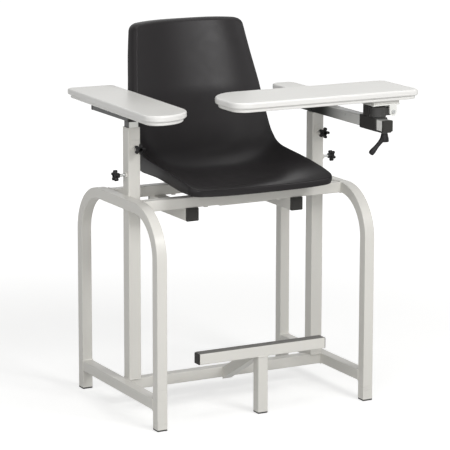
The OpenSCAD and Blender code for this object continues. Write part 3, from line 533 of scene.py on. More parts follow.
class Effects:
    """Node groups that several finishes share, each built once."""

    @staticmethod
    def open(
        name: str, inputs: Sequence[tuple[str, str]], outputs: Sequence[tuple[str, str]]
    ) -> tuple[Graph, bpy.types.Node, bpy.types.Node]:
        """Starts a node group.

        Args:
            name: Name of the group.
            inputs: Name and type of each input.
            outputs: Name and type of each output.

        Returns:
            The group's graph, its input node and its output node.
        """
        tree = bpy.data.node_groups.new(name, "ShaderNodeTree")
        for label, kind in inputs:
            tree.interface.new_socket(label, in_out="INPUT", socket_type="NodeSocket" + kind)
        for label, kind in outputs:
            tree.interface.new_socket(label, in_out="OUTPUT", socket_type="NodeSocket" + kind)
        start = tree.nodes.new("NodeGroupInput")
        end = tree.nodes.new("NodeGroupOutput")
        return Graph(tree), start, end

    @staticmethod
    @cache
    def tone() -> bpy.types.NodeTree:
        """Drift of tone and gloss over a surface."""
        g, start, end = Effects.open(
            "Tone drift",
            [("Colour", "Color"), ("Drift", "Float"), ("Scale", "Float"), ("Roughness", "Float")],
            [("Colour", "Color"), ("Roughness", "Float")],
        )
        where = g.where()
        wide = g.add("TexNoise", Vector=where, Scale=start.outputs["Scale"], Detail=3.0)
        tight = g.sum("MULTIPLY", start.outputs["Scale"], 7.0)
        fine = g.add("TexNoise", Vector=where, Scale=tight, Detail=4.0, Roughness=0.6)
        both = g.sum("ADD", wide.outputs[0], g.sum("MULTIPLY", fine.outputs[0], 0.5))
        centred = g.sum("SUBTRACT", both, 0.75)
        shift = g.sum("MULTIPLY", centred, start.outputs["Drift"])
        toned = g.add(
            "HueSaturation", Color=start.outputs["Colour"], Value=g.sum("ADD", shift, 1.0)
        )
        g.feed(end.inputs["Colour"], toned.outputs[0])
        gloss = g.sum("MULTIPLY_ADD", centred, 0.22, start.outputs["Roughness"])
        g.feed(end.inputs["Roughness"], gloss)
        return g.tree

    @staticmethod
    @cache
    def grain() -> bpy.types.NodeTree:
        """Height of a pebbled or orange-peel surface."""
        g, start, end = Effects.open(
            "Surface grain", [("Scale", "Float"), ("Pebble", "Float")], [("Height", "Float")]
        )
        where = g.where()
        cells = g.add(
            "TexVoronoi", {"feature": "SMOOTH_F1"}, Vector=where,
            Scale=start.outputs["Scale"], Smoothness=0.7,
        )
        peel = g.add("TexNoise", Vector=where, Scale=start.outputs["Scale"], Detail=2.0)
        height = g.blend(start.outputs["Pebble"], peel.outputs[0], cells.outputs["Distance"])
        g.feed(end.inputs["Height"], height)
        return g.tree

    @staticmethod
    @cache
    def rub() -> bpy.types.NodeTree:
        """Mask of the outer edges that hands and boots rub."""
        g, start, end = Effects.open(
            "Edge rub", [("Radius", "Float"), ("Amount", "Float")], [("Mask", "Float")]
        )
        soft = g.add("Bevel", {"samples": 4}, Radius=start.outputs["Radius"])
        true = g.add("NewGeometry")
        dot = g.add("VectorMath", {"operation": "DOT_PRODUCT"})
        g.feed(dot.inputs[0], soft.outputs[0])
        g.feed(dot.inputs[1], true.outputs["Normal"])
        edge = g.spread(g.sum("SUBTRACT", 1.0, dot.outputs["Value"]), 0.02, 0.25)
        patch = g.add("TexNoise", Vector=g.where(), Scale=38.0, Detail=5.0, Roughness=0.65)
        worn = g.sum("MULTIPLY", edge, g.spread(patch.outputs[0], 0.4, 0.62))
        g.feed(end.inputs["Mask"], g.sum("MULTIPLY", worn, start.outputs["Amount"]))
        return g.tree

    @staticmethod
    @cache
    def dust() -> bpy.types.NodeTree:
        """Mask of the dust that settles on what faces up."""
        g, start, end = Effects.open("Settled dust", [("Amount", "Float")], [("Mask", "Float")])
        normal = g.add("SeparateXYZ", Vector=g.add("NewGeometry").outputs["Normal"])
        up = g.spread(normal.outputs["Z"], 0.55, 1.0)
        patch = g.add("TexNoise", Vector=g.where(), Scale=16.0, Detail=6.0, Roughness=0.7)
        mask = g.sum("MULTIPLY", up, g.spread(patch.outputs[0], 0.35, 0.75))
        g.feed(end.inputs["Mask"], g.sum("MULTIPLY", mask, start.outputs["Amount"]))
        return g.tree


def screen(shade: Shade) -> tuple[float, float, float, float]:
    """Turns a colour as a screen shows it, 0 to 255, into the one that a shader takes."""
    linear = [
        c / 3294.6 if c <= 10.31 else ((c / 255 + 0.055) / 1.055) ** 2.4 for c in shade
    ]
    return (*linear, 1.0)


@dataclass(frozen=True)
class Finish:
    """One finish, from which a node material is built."""

    name: str
    colour: Shade
    roughness: float = 0.45
    metallic: float = 0.0
    coat: float = 0.0
    drift: float = 0.05
    drift_scale: float = 6.0
    grain_scale: float = 600.0
    grain_depth: float = 0.00005
    pebble: float = 0.0
    soft_edge: float = 0.0007
    rub: float = 0.0
    rub_radius: float = 0.0015
    rub_colour: Shade = (150, 150, 148)
    dust: float = 0.0
    dust_colour: Shade = (150, 147, 141)
    gloss: float = 0.5

    def colours(self, g: Graph, tone: bpy.types.NodeSocket) -> bpy.types.NodeSocket:
        """Adds what this finish has besides its tone.

        Args:
            g: Graph of the material.
            tone: The drifting base colour.

        Returns:
            The colour to use.
        """
        return tone

    def height(self, g: Graph) -> bpy.types.NodeSocket:
        """Height of the surface's relief.

        Args:
            g: Graph of the material.

        Returns:
            The height, as a share of the grain's depth.
        """
        node = g.group(Effects.grain(), Scale=self.grain_scale, Pebble=self.pebble)
        return node.outputs["Height"]

    def material(self) -> bpy.types.Material:
        """Builds the material once and returns it."""
        if self.name in bpy.data.materials:
            return bpy.data.materials[self.name]
        made = bpy.data.materials.new(self.name)
        made.use_nodes = True
        made.node_tree.nodes.clear()
        g = Graph(made.node_tree)
        tone = g.group(
            Effects.tone(), Colour=screen(self.colour), Drift=self.drift,
            Scale=self.drift_scale, Roughness=self.roughness,
        )
        colour = self.colours(g, tone.outputs["Colour"])
        if self.rub:
            worn = g.group(Effects.rub(), Radius=self.rub_radius, Amount=self.rub)
            colour = g.mix(worn.outputs["Mask"], colour, screen(self.rub_colour))
        if self.dust:
            dusty = g.group(Effects.dust(), Amount=self.dust)
            colour = g.mix(dusty.outputs["Mask"], colour, screen(self.dust_colour))
        bump = g.add("Bump", Height=self.height(g), Strength=1.0, Distance=self.grain_depth)
        if self.soft_edge:
            edge = g.add("Bevel", {"samples": 4}, Radius=self.soft_edge)
            g.feed(bump.inputs["Normal"], edge.outputs[0])
        surface = g.add(
            "BsdfPrincipled", Base_Color=colour, Roughness=tone.outputs["Roughness"],
            Metallic=self.metallic, Coat_Weight=self.coat, Coat_Roughness=0.2,
            Normal=bump.outputs[0], Specular_IOR_Level=self.gloss,
        )
        g.add("OutputMaterial", Surface=surface.outputs[0])
        return made


@dataclass(frozen=True)
class FramePaint(Finish):
    """Baked enamel on the tubes, a little scuffed near the floor."""

    scuff: float = 0.28
    scuff_colour: Shade = (120, 117, 108)

    def colours(self, g: Graph, tone: bpy.types.NodeSocket) -> bpy.types.NodeSocket:
        """Adds thin scuffs and grime low on the frame.

        Args:
            g: Graph of the material.
            tone: The drifting base colour.

        Returns:
            The colour to use.
        """
        where = g.where()
        height = g.add("SeparateXYZ", Vector=where).outputs["Z"]
        low = g.sum("SUBTRACT", 1.0, g.spread(height, 0.02, 0.2))
        stretched = g.add("Mapping", Vector=where, Scale=(1, 1, 7))
        marks = g.add("TexNoise", Vector=stretched.outputs[0], Scale=9.0, Detail=8.0, Roughness=0.75)
        mask = g.sum("MULTIPLY", low, g.spread(marks.outputs[0], 0.56, 0.75))
        return g.mix(g.sum("MULTIPLY", mask, self.scuff), tone, screen(self.scuff_colour))


@dataclass(frozen=True)
class Plating(Finish):
    """Satin plating with drawing lines along the tube; top, bottom and rear sides carry painted
    shade.
    """

    along: Place = (400, 6, 400)
    # Share of painted shade on the top and bottom faces.
    crown_shade_share: float = 0.72
    # Along Y, the painted shade on the side faces starts at the first of these and is full at the
    # second.
    shade_clear_at: float = -0.22
    shade_full_at: float = -0.06
    # Colour of the painted shade and dark reflection.
    painted_shade: Shade = (44, 46, 44)

    def colours(self, g: Graph, tone: bpy.types.NodeSocket) -> bpy.types.NodeSocket:
        """Paints shade on the top and bottom, and shade and a dark reflection on the sides towards
        the rear.

        Args:
            g: Graph of the material.
            tone: The drifting base colour.

        Returns:
            The colour to use.
        """
        where = g.add("TexCoord")
        along = g.add("SeparateXYZ", Vector=where.outputs["Object"]).outputs["Y"]
        faces = g.add("SeparateXYZ", Vector=where.outputs["Normal"])
        # Painted shade: side faces darken towards the rear and top and bottom faces darken, as if
        # shaded and reflecting dark.
        side = g.sum("ABSOLUTE", faces.outputs["X"])
        crown_shade = g.sum("MULTIPLY", g.sum("ABSOLUTE", faces.outputs["Z"]), self.crown_shade_share)
        side_shade_ramp = g.spread(along, self.shade_clear_at, self.shade_full_at)
        mask = g.sum("MAXIMUM", g.sum("MULTIPLY", side, side_shade_ramp), crown_shade)
        return g.mix(mask, tone, screen(self.painted_shade))

    def height(self, g: Graph) -> bpy.types.NodeSocket:
        """Height of the fine lines that drawing leaves.

        Args:
            g: Graph of the material.

        Returns:
            The height, as a share of the grain's depth.
        """
        drawn = g.add("Mapping", Vector=g.where(), Scale=self.along)
        return g.add("TexNoise", Vector=drawn.outputs[0], Scale=1.0, Detail=3.0).outputs[0]


@dataclass(frozen=True)
class ShellFace(Finish):
    """Moulded plastic with a pebbled grain and a slight dish across it."""

    dish_radius: float = 0.9

    def height(self, g: Graph) -> bpy.types.NodeSocket:
        """Height of the pebbling and of the dish.

        Args:
            g: Graph of the material.

        Returns:
            The height, as a share of the grain's depth.
        """
        across = g.add("SeparateXYZ", Vector=g.where()).outputs["X"]
        share = 1 / (2 * self.dish_radius * self.grain_depth)
        dish = g.sum("MULTIPLY", g.sum("MULTIPLY", across, across), share)
        return g.sum("ADD", super().height(g), dish)


@dataclass(frozen=True)
class BoardFace(Finish):
    """White laminate with the faint speckle of its paper."""

    mark_share: float = 0.05
    mark_colour: Shade = (176, 174, 168)

    def colours(self, g: Graph, tone: bpy.types.NodeSocket) -> bpy.types.NodeSocket:
        """Adds faint specks and wiped smears.

        Args:
            g: Graph of the material.
            tone: The drifting base colour.

        Returns:
            The colour to use.
        """
        where = g.where()
        specks = g.add("TexNoise", Vector=where, Scale=900.0, Detail=1.0)
        wiped = g.add("Mapping", Vector=where, Scale=(2, 9, 2), Rotation=(0, 0, 0.5))
        smear = g.add("TexNoise", Vector=wiped.outputs[0], Scale=3.0, Detail=6.0)
        mask = g.sum(
            "ADD",
            g.sum("MULTIPLY", g.spread(specks.outputs[0], 0.6, 0.7), self.mark_share),
            g.sum("MULTIPLY", g.spread(smear.outputs[0], 0.5, 0.8), self.mark_share),
        )
        return g.mix(mask, tone, screen(self.mark_colour))


@dataclass(frozen=True)
class TreadFace(Finish):
    """Dark grey tread with mineral grit in it."""

    grit_share: float = 0.35
    grit_colour: Shade = (158, 157, 153)

    def colours(self, g: Graph, tone: bpy.types.NodeSocket) -> bpy.types.NodeSocket:
        """Adds pale grit.

        Args:
            g: Graph of the material.
            tone: The drifting base colour.

        Returns:
            The colour to use.
        """
        grit = g.add("TexVoronoi", Vector=g.where(), Scale=700.0)
        pale = g.spread(g.add("SeparateXYZ", Vector=grit.outputs["Color"]).outputs["X"], 0.6, 1.0)
        return g.mix(g.sum("MULTIPLY", pale, self.grit_share), tone, screen(self.grit_colour))


PAINT = FramePaint("Frame enamel", (221, 219, 213), 0.42, drift=0.035, rub=0.35, coat=0.15)
BRACKET_PAINT = FramePaint("Bracket enamel", (232, 232, 228), 0.4, drift=0.03, rub=0.3)
BOARD = BoardFace("Board laminate", (221, 220, 216), 0.38, drift=0.03, drift_scale=3.0)
BAND = Finish(
    "Board edging", (229, 228, 225), 0.34, drift=0.02, coat=0.1, rub=0.3,
    rub_colour=(214, 212, 206),
)
SHELL = ShellFace(
    "Moulded shell", (36, 34, 35), 0.33, drift=0.06, drift_scale=5.0, grain_scale=520.0,
    grain_depth=0.00005, pebble=0.8, dust=0.02, rub=0.12, rub_colour=(92, 90, 90), gloss=0.14,
)
# Both platings carry painted shade on top and bottom and a painted dark reflection on their sides;
# the upright tubes' sides are dark all along.
CHROME = Plating("Satin plating", (250, 250, 247), 0.3, metallic=0.06, grain_depth=0.000002)
CHROME_UP = Plating(
    "Satin plating upright", (240, 240, 236), 0.3, metallic=0.1, grain_depth=0.000002,
    along=(400, 400, 6), shade_clear_at=-0.5, shade_full_at=-0.3, painted_shade=(26, 27, 26),
)
ZINC = Finish("Zinc plate", (176, 177, 176), 0.34, metallic=1.0, drift=0.12, drift_scale=60.0)
BLACK_STEEL = Finish(
    "Black powder coat", (56, 55, 54), 0.46, drift=0.1, grain_scale=900.0, grain_depth=0.00008,
    rub=0.35, rub_colour=(110, 108, 106), dust=0.06, gloss=0.35,
)
KNOB = Finish(
    "Knob moulding", (24, 23, 24), 0.42, drift=0.1, grain_scale=1400.0, grain_depth=0.00004,
    pebble=0.6, dust=0.06, rub=0.3, rub_colour=(80, 79, 78), gloss=0.2,
)
PLUG = Finish(
    "Plug moulding", (50, 49, 47), 0.5, drift=0.12, grain_scale=1200.0, grain_depth=0.00005,
    pebble=0.6, dust=0.08, rub=0.3, rub_colour=(95, 93, 90), gloss=0.2,
)
TREAD = TreadFace(
    "Gritted tread", (118, 117, 114), 0.86, drift=0.14, drift_scale=14.0, grain_scale=1100.0,
    grain_depth=0.0003, pebble=0.5, gloss=0.3,
)
SPACER = Finish("Spacer rubber", (38, 37, 36), 0.7, drift=0.15, grain_depth=0.0001, gloss=0.3)


# Sub-assemblies


@dataclass
class SeatShell:
    """The moulded shell, with the rim that rolls over all round it."""

    width: float = 0.460
    depth: float = 0.493
    rise: float = 0.4425
    ahead: float = 0.246
    pan_height: float = 0.6602
    thickness: float = 0.0046
    rim_depth: float = 0.034
    rim_roll: float = 0.009
    rim_flare: float = 0.005
    bucket_power: float = 3.2
    front_corner: tuple[float, float] = (0.13, 0.95)
    top_corner: tuple[float, float] = (0.09, 0.18)
    edge_round: float = 0.0013
    columns: int = 64
    side_rows: int = 92
    corner_rows: int = 10
    rim_rows: int = 12
    middle_shares: Steps = (
        (0.006, 0.038), (0.063, 0.040), (0.154, 0.029), (0.296, 0.009), (0.438, 0.000),
        (0.580, 0.000), (0.682, 0.011), (0.753, 0.049), (0.799, 0.124), (0.824, 0.236),
        (0.859, 0.460), (0.8745, 0.545), (0.8956, 0.620), (0.949, 0.809), (0.9955, 0.982),
    )
    crest_shares: Steps = (
        (0.000, 0.054), (0.057, 0.072), (0.150, 0.090), (0.292, 0.112), (0.428, 0.128),
        (0.560, 0.142), (0.641, 0.155), (0.698, 0.180), (0.730, 0.216), (0.763, 0.279),
        (0.8139, 0.458), (0.8351, 0.545), (0.8567, 0.621), (0.909, 0.793), (0.9545, 0.971),
    )
    width_shares: tuple[float, ...] = (
        0.983, 0.991, 1.000, 1.000, 1.000, 0.996, 0.991, 0.984, 0.972, 0.951,
        0.904, 0.878, 0.856, 0.804, 0.749,
    )
    rim_depth_shares: tuple[float, ...] = (
        0.60, 0.78, 0.94, 1.00, 1.02, 1.20, 1.36, 1.42, 1.34, 1.24,
        1.18, 1.14, 1.10, 1.06, 0.96,
    )
    rim_flare_shares: tuple[float, ...] = (
        1.0, 1.0, 1.0, 1.0, 1.0, 1.0, 1.2, 1.6, 2.0, 2.4, 2.8, 3.2, 3.2, 3.2, 3.2,
    )

    @staticmethod
    def between(stations: Sequence[float], b: float) -> float:
        """Smooth value between the stations of a list.

        Args:
            stations: One number for each station.
            b: Place along the stations.

        Returns:
            The value there.
        """
        i = math.floor(b)
        t = b - i
        last = len(stations) - 1
        p0, p1, p2, p3 = (stations[max(0, min(last, i + k))] for k in (-1, 0, 1, 2))
        return (
            p1
            + (p2 - p0) * t / 2
            + (2 * p0 - 5 * p1 + 4 * p2 - p3) * t * t / 2
            + (3 * p1 - p0 - 3 * p2 + p3) * t**3 / 2
        )

    def point(self, a: float, b: float) -> Vector:
        """Point of the sitting face.

        Args:
            a: Share across, from -1 to 1.
            b: Station along, from the front to the top.

        Returns:
            The point.
        """
        bend = abs(a) ** self.bucket_power
        along = []
        for k in (0, 1):
            m = self.between([s[k] for s in self.middle_shares], b)
            c = self.between([s[k] for s in self.crest_shares], b)
            along.append(m + (c - m) * bend)
        half = self.between(self.width_shares, b) * self.width / 2
        return Vector(
            (a * half, along[0] * self.depth - self.ahead, along[1] * self.rise + self.pan_height)
        )

    def rows(self) -> Steps:
        """Station of each row and the share of the half width that it reaches."""
        last = len(self.middle_shares) - 1
        (fa, fb), (ta, tb) = self.front_corner, self.top_corner
        found = []
        for i in range(self.corner_rows):
            w = math.radians(90 * i / self.corner_rows - 90)
            found.append((fb + fb * math.sin(w), 1 - fa + fa * math.cos(w)))
        for i in range(self.side_rows):
            found.append((fb + (last - tb - fb) * i / self.side_rows, 1.0))
        for i in range(self.corner_rows + 1):
            w = math.radians(90 * i / self.corner_rows)
            found.append((last - tb + tb * math.sin(w), 1 - ta + ta * math.cos(w)))
        return tuple(found)

    def rim(self, edge: list[tuple[float, float]], i: int, t: float) -> Vector:
        """Point of the rolled rim.

        Args:
            edge: Outline of the sitting face in shares across and stations along.
            i: Index along the outline.
            t: Share of the way from the crest to the free edge.

        Returns:
            The point.
        """
        last = len(self.middle_shares) - 1
        n = len(edge)
        a, b = edge[i]
        fb, tb = self.front_corner[1], self.top_corner[1]
        crest = self.point(a, b)
        hub = max(fb, min(last - tb, b))
        inner = self.point(a * 0.98, hub + (b - hub) * 0.98)
        along = self.point(*edge[(i + 1) % n]) - self.point(*edge[i - 1])
        low, high = max(b - 0.05, 0), min(b + 0.05, last)
        crests = [[s[k] for s in self.crest_shares] for k in (0, 1)]
        dy, dz = (self.between(c, high) - self.between(c, low) for c in crests)
        away = Vector((0, dz * self.rise, -dy * self.depth)).normalized()
        pull = crest - inner
        pull -= along * (along.dot(pull) / along.length_squared)
        out = along.cross(away).normalized()
        if out.dot(pull) < 0:
            out = -out
        lean = self.rim_flare * self.between(self.rim_flare_shares, b)
        depth = self.rim_depth * self.between(self.rim_depth_shares, b)
        roll = self.rim_roll
        c1 = crest + pull.normalized() * roll * 0.6
        c2 = crest + out * (roll + lean) * 0.6 + away * (roll + depth / 4) * 0.6
        c3 = crest + out * lean + away * depth
        u = 1 - t
        return crest * u**3 + c1 * 3 * t * u * u + c2 * 3 * t * t * u + c3 * t**3

    def face(self, rows: Steps) -> tuple[bpy.types.Object, dict[int, tuple[int, int]]]:
        """Shapes a grid into the sitting face.

        Args:
            rows: Station and reach of each row.

        Returns:
            The face, and the row and column of each of its vertices.
        """
        last_row = len(rows) - 1
        Bench.clear()
        bpy.ops.mesh.primitive_grid_add(
            x_subdivisions=self.columns, y_subdivisions=last_row, size=2
        )
        shell = Bench.named("seat_shell_moulding")
        place = {
            v.index: (
                round((v.co.y + 1) / 2 * last_row), round((v.co.x + 1) / 2 * self.columns)
            )
            for v in shell.data.vertices
        }
        for v in shell.data.vertices:
            r, c = place[v.index]
            b, reach = rows[r]
            v.co = self.point(reach * (2 * c / self.columns - 1), b)
        return shell, place

    def roll(
        self, shell: bpy.types.Object, rows: Steps, place: dict[int, tuple[int, int]]
    ) -> None:
        """Extrudes the face's outline step by step into the rolled rim.

        Args:
            shell: The sitting face.
            rows: Station and reach of each row.
            place: Row and column of each of the face's vertices.
        """
        columns, last_row = self.columns, len(rows) - 1
        ring = (
            [(0, c) for c in range(columns)]
            + [(r, columns) for r in range(last_row)]
            + [(last_row, c) for c in range(columns, 0, -1)]
            + [(r, 0) for r in range(last_row, 0, -1)]
        )
        edge = [(rows[r][1] * (2 * c / columns - 1), rows[r][0]) for r, c in ring]
        order = {spot: i for i, spot in enumerate(ring)}
        at = {index: order[spot] for index, spot in place.items() if spot in order}
        Bench.hold(shell)
        bpy.ops.object.mode_set(mode="EDIT")
        bpy.ops.mesh.select_mode(type="EDGE")
        bpy.ops.mesh.select_all(action="SELECT")
        bpy.ops.mesh.region_to_loop()
        for step in range(1, self.rim_rows + 1):
            bpy.ops.mesh.extrude_edges_move()
            mesh = bmesh.from_edit_mesh(shell.data)
            fresh: dict[int, int] = {}
            for v in [v for v in mesh.verts if v.select]:
                before = next(e.other_vert(v) for e in v.link_edges if not e.other_vert(v).select)
                fresh[v.index] = at[before.index]
                v.co = self.rim(edge, fresh[v.index], step / self.rim_rows)
            at = fresh
            bmesh.update_edit_mesh(shell.data)
        bpy.ops.mesh.select_all(action="SELECT")
        bpy.ops.mesh.normals_make_consistent(inside=False)
        mesh = bmesh.from_edit_mesh(shell.data)
        mesh.faces.ensure_lookup_table()
        if mesh.faces[len(mesh.faces) // 3].normal.z < 0:
            bpy.ops.mesh.flip_normals()
        Bench.clear()

    def build(self) -> bpy.types.Object:
        """Shapes the sitting face, rolls its rim and gives both their thickness."""
        rows = self.rows()
        shell, place = self.face(rows)
        self.roll(shell, rows, place)
        Bench.modify(
            shell, "SOLIDIFY", thickness=self.thickness, offset=-1, use_even_offset=False
        )
        Bench.modify(
            shell, "BEVEL", width=self.edge_round, segments=3, limit_method="ANGLE",
            angle_limit=math.radians(55),
        )
        Bench.smooth(shell, 50)
        return Bench.stand_in(shell, SHELL, "seat", "seat_shell")


@dataclass
class BoardPlan:
    """Outline of a board: its rectangle, a radius for each corner and its turn."""

    low: tuple[float, float]
    high: tuple[float, float]
    radii: tuple[float, float, float, float]
    turn: float = 0.0
    pivot: tuple[float, float] = (0.0, 0.0)

    def inset(self, by: float) -> "BoardPlan":
        """The same plan with its edge moved in.

        Args:
            by: How far the edge moves.

        Returns:
            The smaller plan.
        """
        return BoardPlan(
            (self.low[0] + by, self.low[1] + by), (self.high[0] - by, self.high[1] - by),
            tuple(r - by for r in self.radii), self.turn, self.pivot,
        )


@dataclass
class BoardLayer:
    """One layer of a board, cut to its plan and with rounded rims."""

    node: str
    plan: BoardPlan
    top_round: float = 0.0055
    low_round: float = 0.004

    def build(self) -> bpy.types.Object:
        """Cuts the layer's corners, rounds its rims and bands its edge."""
        floor, ceiling = (corner.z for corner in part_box(self.node))
        low, high = Vector((*self.plan.low, floor)), Vector((*self.plan.high, ceiling))
        layer = Bench.block(self.node + "_layer", low, high)
        corners = ((low.x, low.y), (high.x, low.y), (high.x, high.y), (low.x, high.y))
        for (x, y), radius in zip(corners, self.plan.radii):
            Bench.round_edges(
                layer,
                lambda m, d, x=x, y=y: abs(m.x - x) < CLOSE and abs(m.y - y) < CLOSE,
                radius, 20,
            )
        Bench.round_edges(layer, lambda m, d: abs(m.z - high.z) < CLOSE, self.top_round, 6)
        Bench.round_edges(layer, lambda m, d: abs(m.z - low.z) < CLOSE, self.low_round, 5)
        layer.data.materials.append(BOARD.material())
        layer.data.materials.append(BAND.material())
        for face in layer.data.polygons:
            face.material_index = 0 if abs(face.normal.z) > 0.999 else 1
        if self.plan.turn:
            spot = Matrix.Translation((*self.plan.pivot, 0))
            turned = spot @ Matrix.Rotation(math.radians(self.plan.turn), 4, "Z")
            Bench.settle(layer, turned @ spot.inverted())
        Bench.shade(layer, 40)
        return Bench.stand_in(layer, BOARD, "board", self.node)


@dataclass
class ArmBoards:
    """The fixed board, the flip board and the elbow pad, two layers each."""

    fixed: BoardPlan = field(default_factory=lambda: BoardPlan(
        (-0.3810, -0.2995), (-0.2286, 0.3005), (0.046, 0.104, 0.020, 0.020),
        -1.8, (-0.3048, 0.0705),
    ))
    flip: BoardPlan = field(default_factory=lambda: BoardPlan(
        (-0.1748, -0.3974), (0.4252, -0.1894), (0.048, 0.020, 0.020, 0.108)
    ))
    elbow: BoardPlan = field(default_factory=lambda: BoardPlan(
        (0.2667, -0.0980), (0.3429, 0.2070), (0.020, 0.020, 0.020, 0.020)
    ))
    setback: float = 0.009
    base_rounds: tuple[float, float] = (0.0012, 0.003)

    def build(self) -> None:
        """Builds the six layers and the packing block."""
        for stem, plan in (
            ("left_board", self.fixed), ("flip_board", self.flip), ("elbow_pad", self.elbow)
        ):
            BoardLayer(stem + "_top", plan).build()
            BoardLayer(stem + "_base", plan.inset(self.setback), *self.base_rounds).build()
        low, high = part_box("hinge_packing")
        packing = Bench.block("hinge_packing_block", low, high)
        Bench.soften(packing, 0.0015)
        Bench.stand_in(packing, BOARD, "board", "hinge_packing")


@dataclass
class TubePlug:
    """A moulded plug for a square tube, made along +Z with its flange outside."""

    outer: float = 0.03175
    wall: float = 0.0016
    flange: float = 0.003
    body: float = 0.014
    corner: float = 0.0024
    step: float = 0.0009
    pad_share: float = 0.76
    skirt: float = 0.0
    swell: float = 0.0003
    fit: float = 0.0001
    rim_round: float = 0.0007
    pad_round: float = 0.0004
    pad_corner: float = 0.001

    def pattern(self, name: str) -> bpy.types.Object:
        """Makes one plug at the origin, its flange from height zero up.

        Args:
            name: Name of the pattern piece.

        Returns:
            The plug.
        """
        h, rim = self.outer / 2, self.flange - self.step
        over = self.swell if self.skirt else 0
        plug = Bench.block(
            name + "_rim", (-h - over, -h - over, -self.skirt), (h + over, h + over, rim)
        )
        Bench.round_corners(plug, self.corner, 5)
        Bench.sink(plug, lambda m, n: n.z < -ALONG, self.wall + self.fit, self.body)
        Bench.round_rim(plug, rim, self.rim_round, 3)
        Bench.shade(plug)
        h *= self.pad_share
        pad = Bench.block(name + "_pad", (-h, -h, rim / 2), (h, h, self.flange))
        Bench.round_corners(pad, self.pad_corner, 3)
        Bench.round_rim(pad, self.flange, self.pad_round, 3)
        Bench.shade(pad)
        return Bench.join(name, [plug, pad])


@dataclass
class Plugs:
    """All the end plugs and foot caps."""

    tube: float = 0.03175
    bearer: float = 0.0381
    tube_wall: float = 0.0016
    bearer_wall: float = 0.002875
    flange: float = 0.003
    skirt: float = 0.005
    cap: float = 0.005

    def spread(
        self, kind: TubePlug, node: str, spots: Sequence[tuple[Place, Facing]]
    ) -> bpy.types.Object:
        """Copies one plug to all its places and joins the copies.

        Args:
            kind: The plug to copy.
            node: The solid that the plugs stand for.
            spots: Middle of each tube end, and the way it faces.

        Returns:
            The joined piece.
        """
        pattern = kind.pattern("plug_pattern")
        copies = [
            Bench.copy(pattern, f"{node}_{i}", Matrix.Translation(spot) @ facing.turn())
            for i, (spot, facing) in enumerate(spots)
        ]
        Bench.remove(pattern)
        piece = Bench.join(node + "_mouldings", copies)
        return Bench.stand_in(piece, PLUG, "end_plug", node)

    @staticmethod
    def ends(node: str, axis: int) -> list[tuple[Place, Facing]]:
        """Both ends of a tube.

        Args:
            node: The tube's solid.
            axis: Axis that it runs along, 0 for X and 1 for Y.

        Returns:
            Middle of each end, and the way it faces.
        """
        facings = ((Facing.LEFTWARD, Facing.RIGHTWARD), (Facing.FORWARD, Facing.REARWARD))[axis]
        found: list[tuple[Place, Facing]] = []
        for end, facing in zip(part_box(node), facings):
            spot = Bench.middle(node)
            spot[axis] = end[axis]
            found.append((tuple(spot), facing))
        return found

    def build(self) -> None:
        """Builds foot caps, footrest plugs, bearer plugs and bar plugs."""
        low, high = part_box("foot_caps")
        h = self.tube / 2
        legs = [(x, y) for x in (low.x + h, high.x - h) for y in (low.y + h, high.y - h)]
        legs.append(tuple(Bench.middle("footrest_leg").xy))
        cap = TubePlug(self.tube, self.tube_wall, self.cap)
        self.spread(cap, "foot_caps", [((x, y, self.cap), Facing.DOWN) for x, y in legs])
        plug = TubePlug(self.tube, self.tube_wall, self.flange)
        self.spread(plug, "footrest_plugs", self.ends("footrest_bar", 0))
        wide = TubePlug(self.bearer, self.bearer_wall, self.flange, skirt=self.skirt)
        bearers = self.ends("left_bearer", 1) + self.ends("right_bearer", 1)
        self.spread(wide, "bearer_plugs", bearers)
        capped = TubePlug(self.tube, self.tube_wall, self.flange, skirt=self.skirt)
        for side in ("left", "right"):
            self.spread(capped, side + "_bar_plugs", self.ends(side + "_arm_bar", 1))


@dataclass
class Tread:
    """The gritted tread on the footrest, with low ribs along it."""

    base_share: float = 0.55
    ribs: int = 9
    rib_share: float = 0.5
    rib_setback: float = 0.002
    rib_root: float = 0.0003
    rounding: float = 0.0004

    def build(self) -> bpy.types.Object:
        """Builds the strip and its ribs."""
        low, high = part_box("footrest_tread")
        top = low.z + (high.z - low.z) * self.base_share
        strip = Bench.block("tread_strip", low, (high.x, high.y, top))
        Bench.soften(strip, self.rounding, 2)
        pitch = (high.y - low.y) / self.ribs
        half = pitch * self.rib_share / 2
        rib = Bench.block(
            "tread_rib", (low.x + self.rib_setback, -half, top - self.rib_root),
            (high.x - self.rib_setback, half, high.z),
        )
        Bench.round_rim(rib, high.z, self.rounding, 3)
        Bench.shade(rib)
        parts = [strip]
        for k in range(self.ribs):
            spot = Matrix.Translation((0, low.y + pitch * (k + 0.5), 0))
            parts.append(Bench.copy(rib, f"tread_rib_{k}", spot))
        Bench.remove(rib)
        piece = Bench.join("footrest_tread_strip", parts)
        return Bench.stand_in(piece, TREAD, "tread", "footrest_tread")


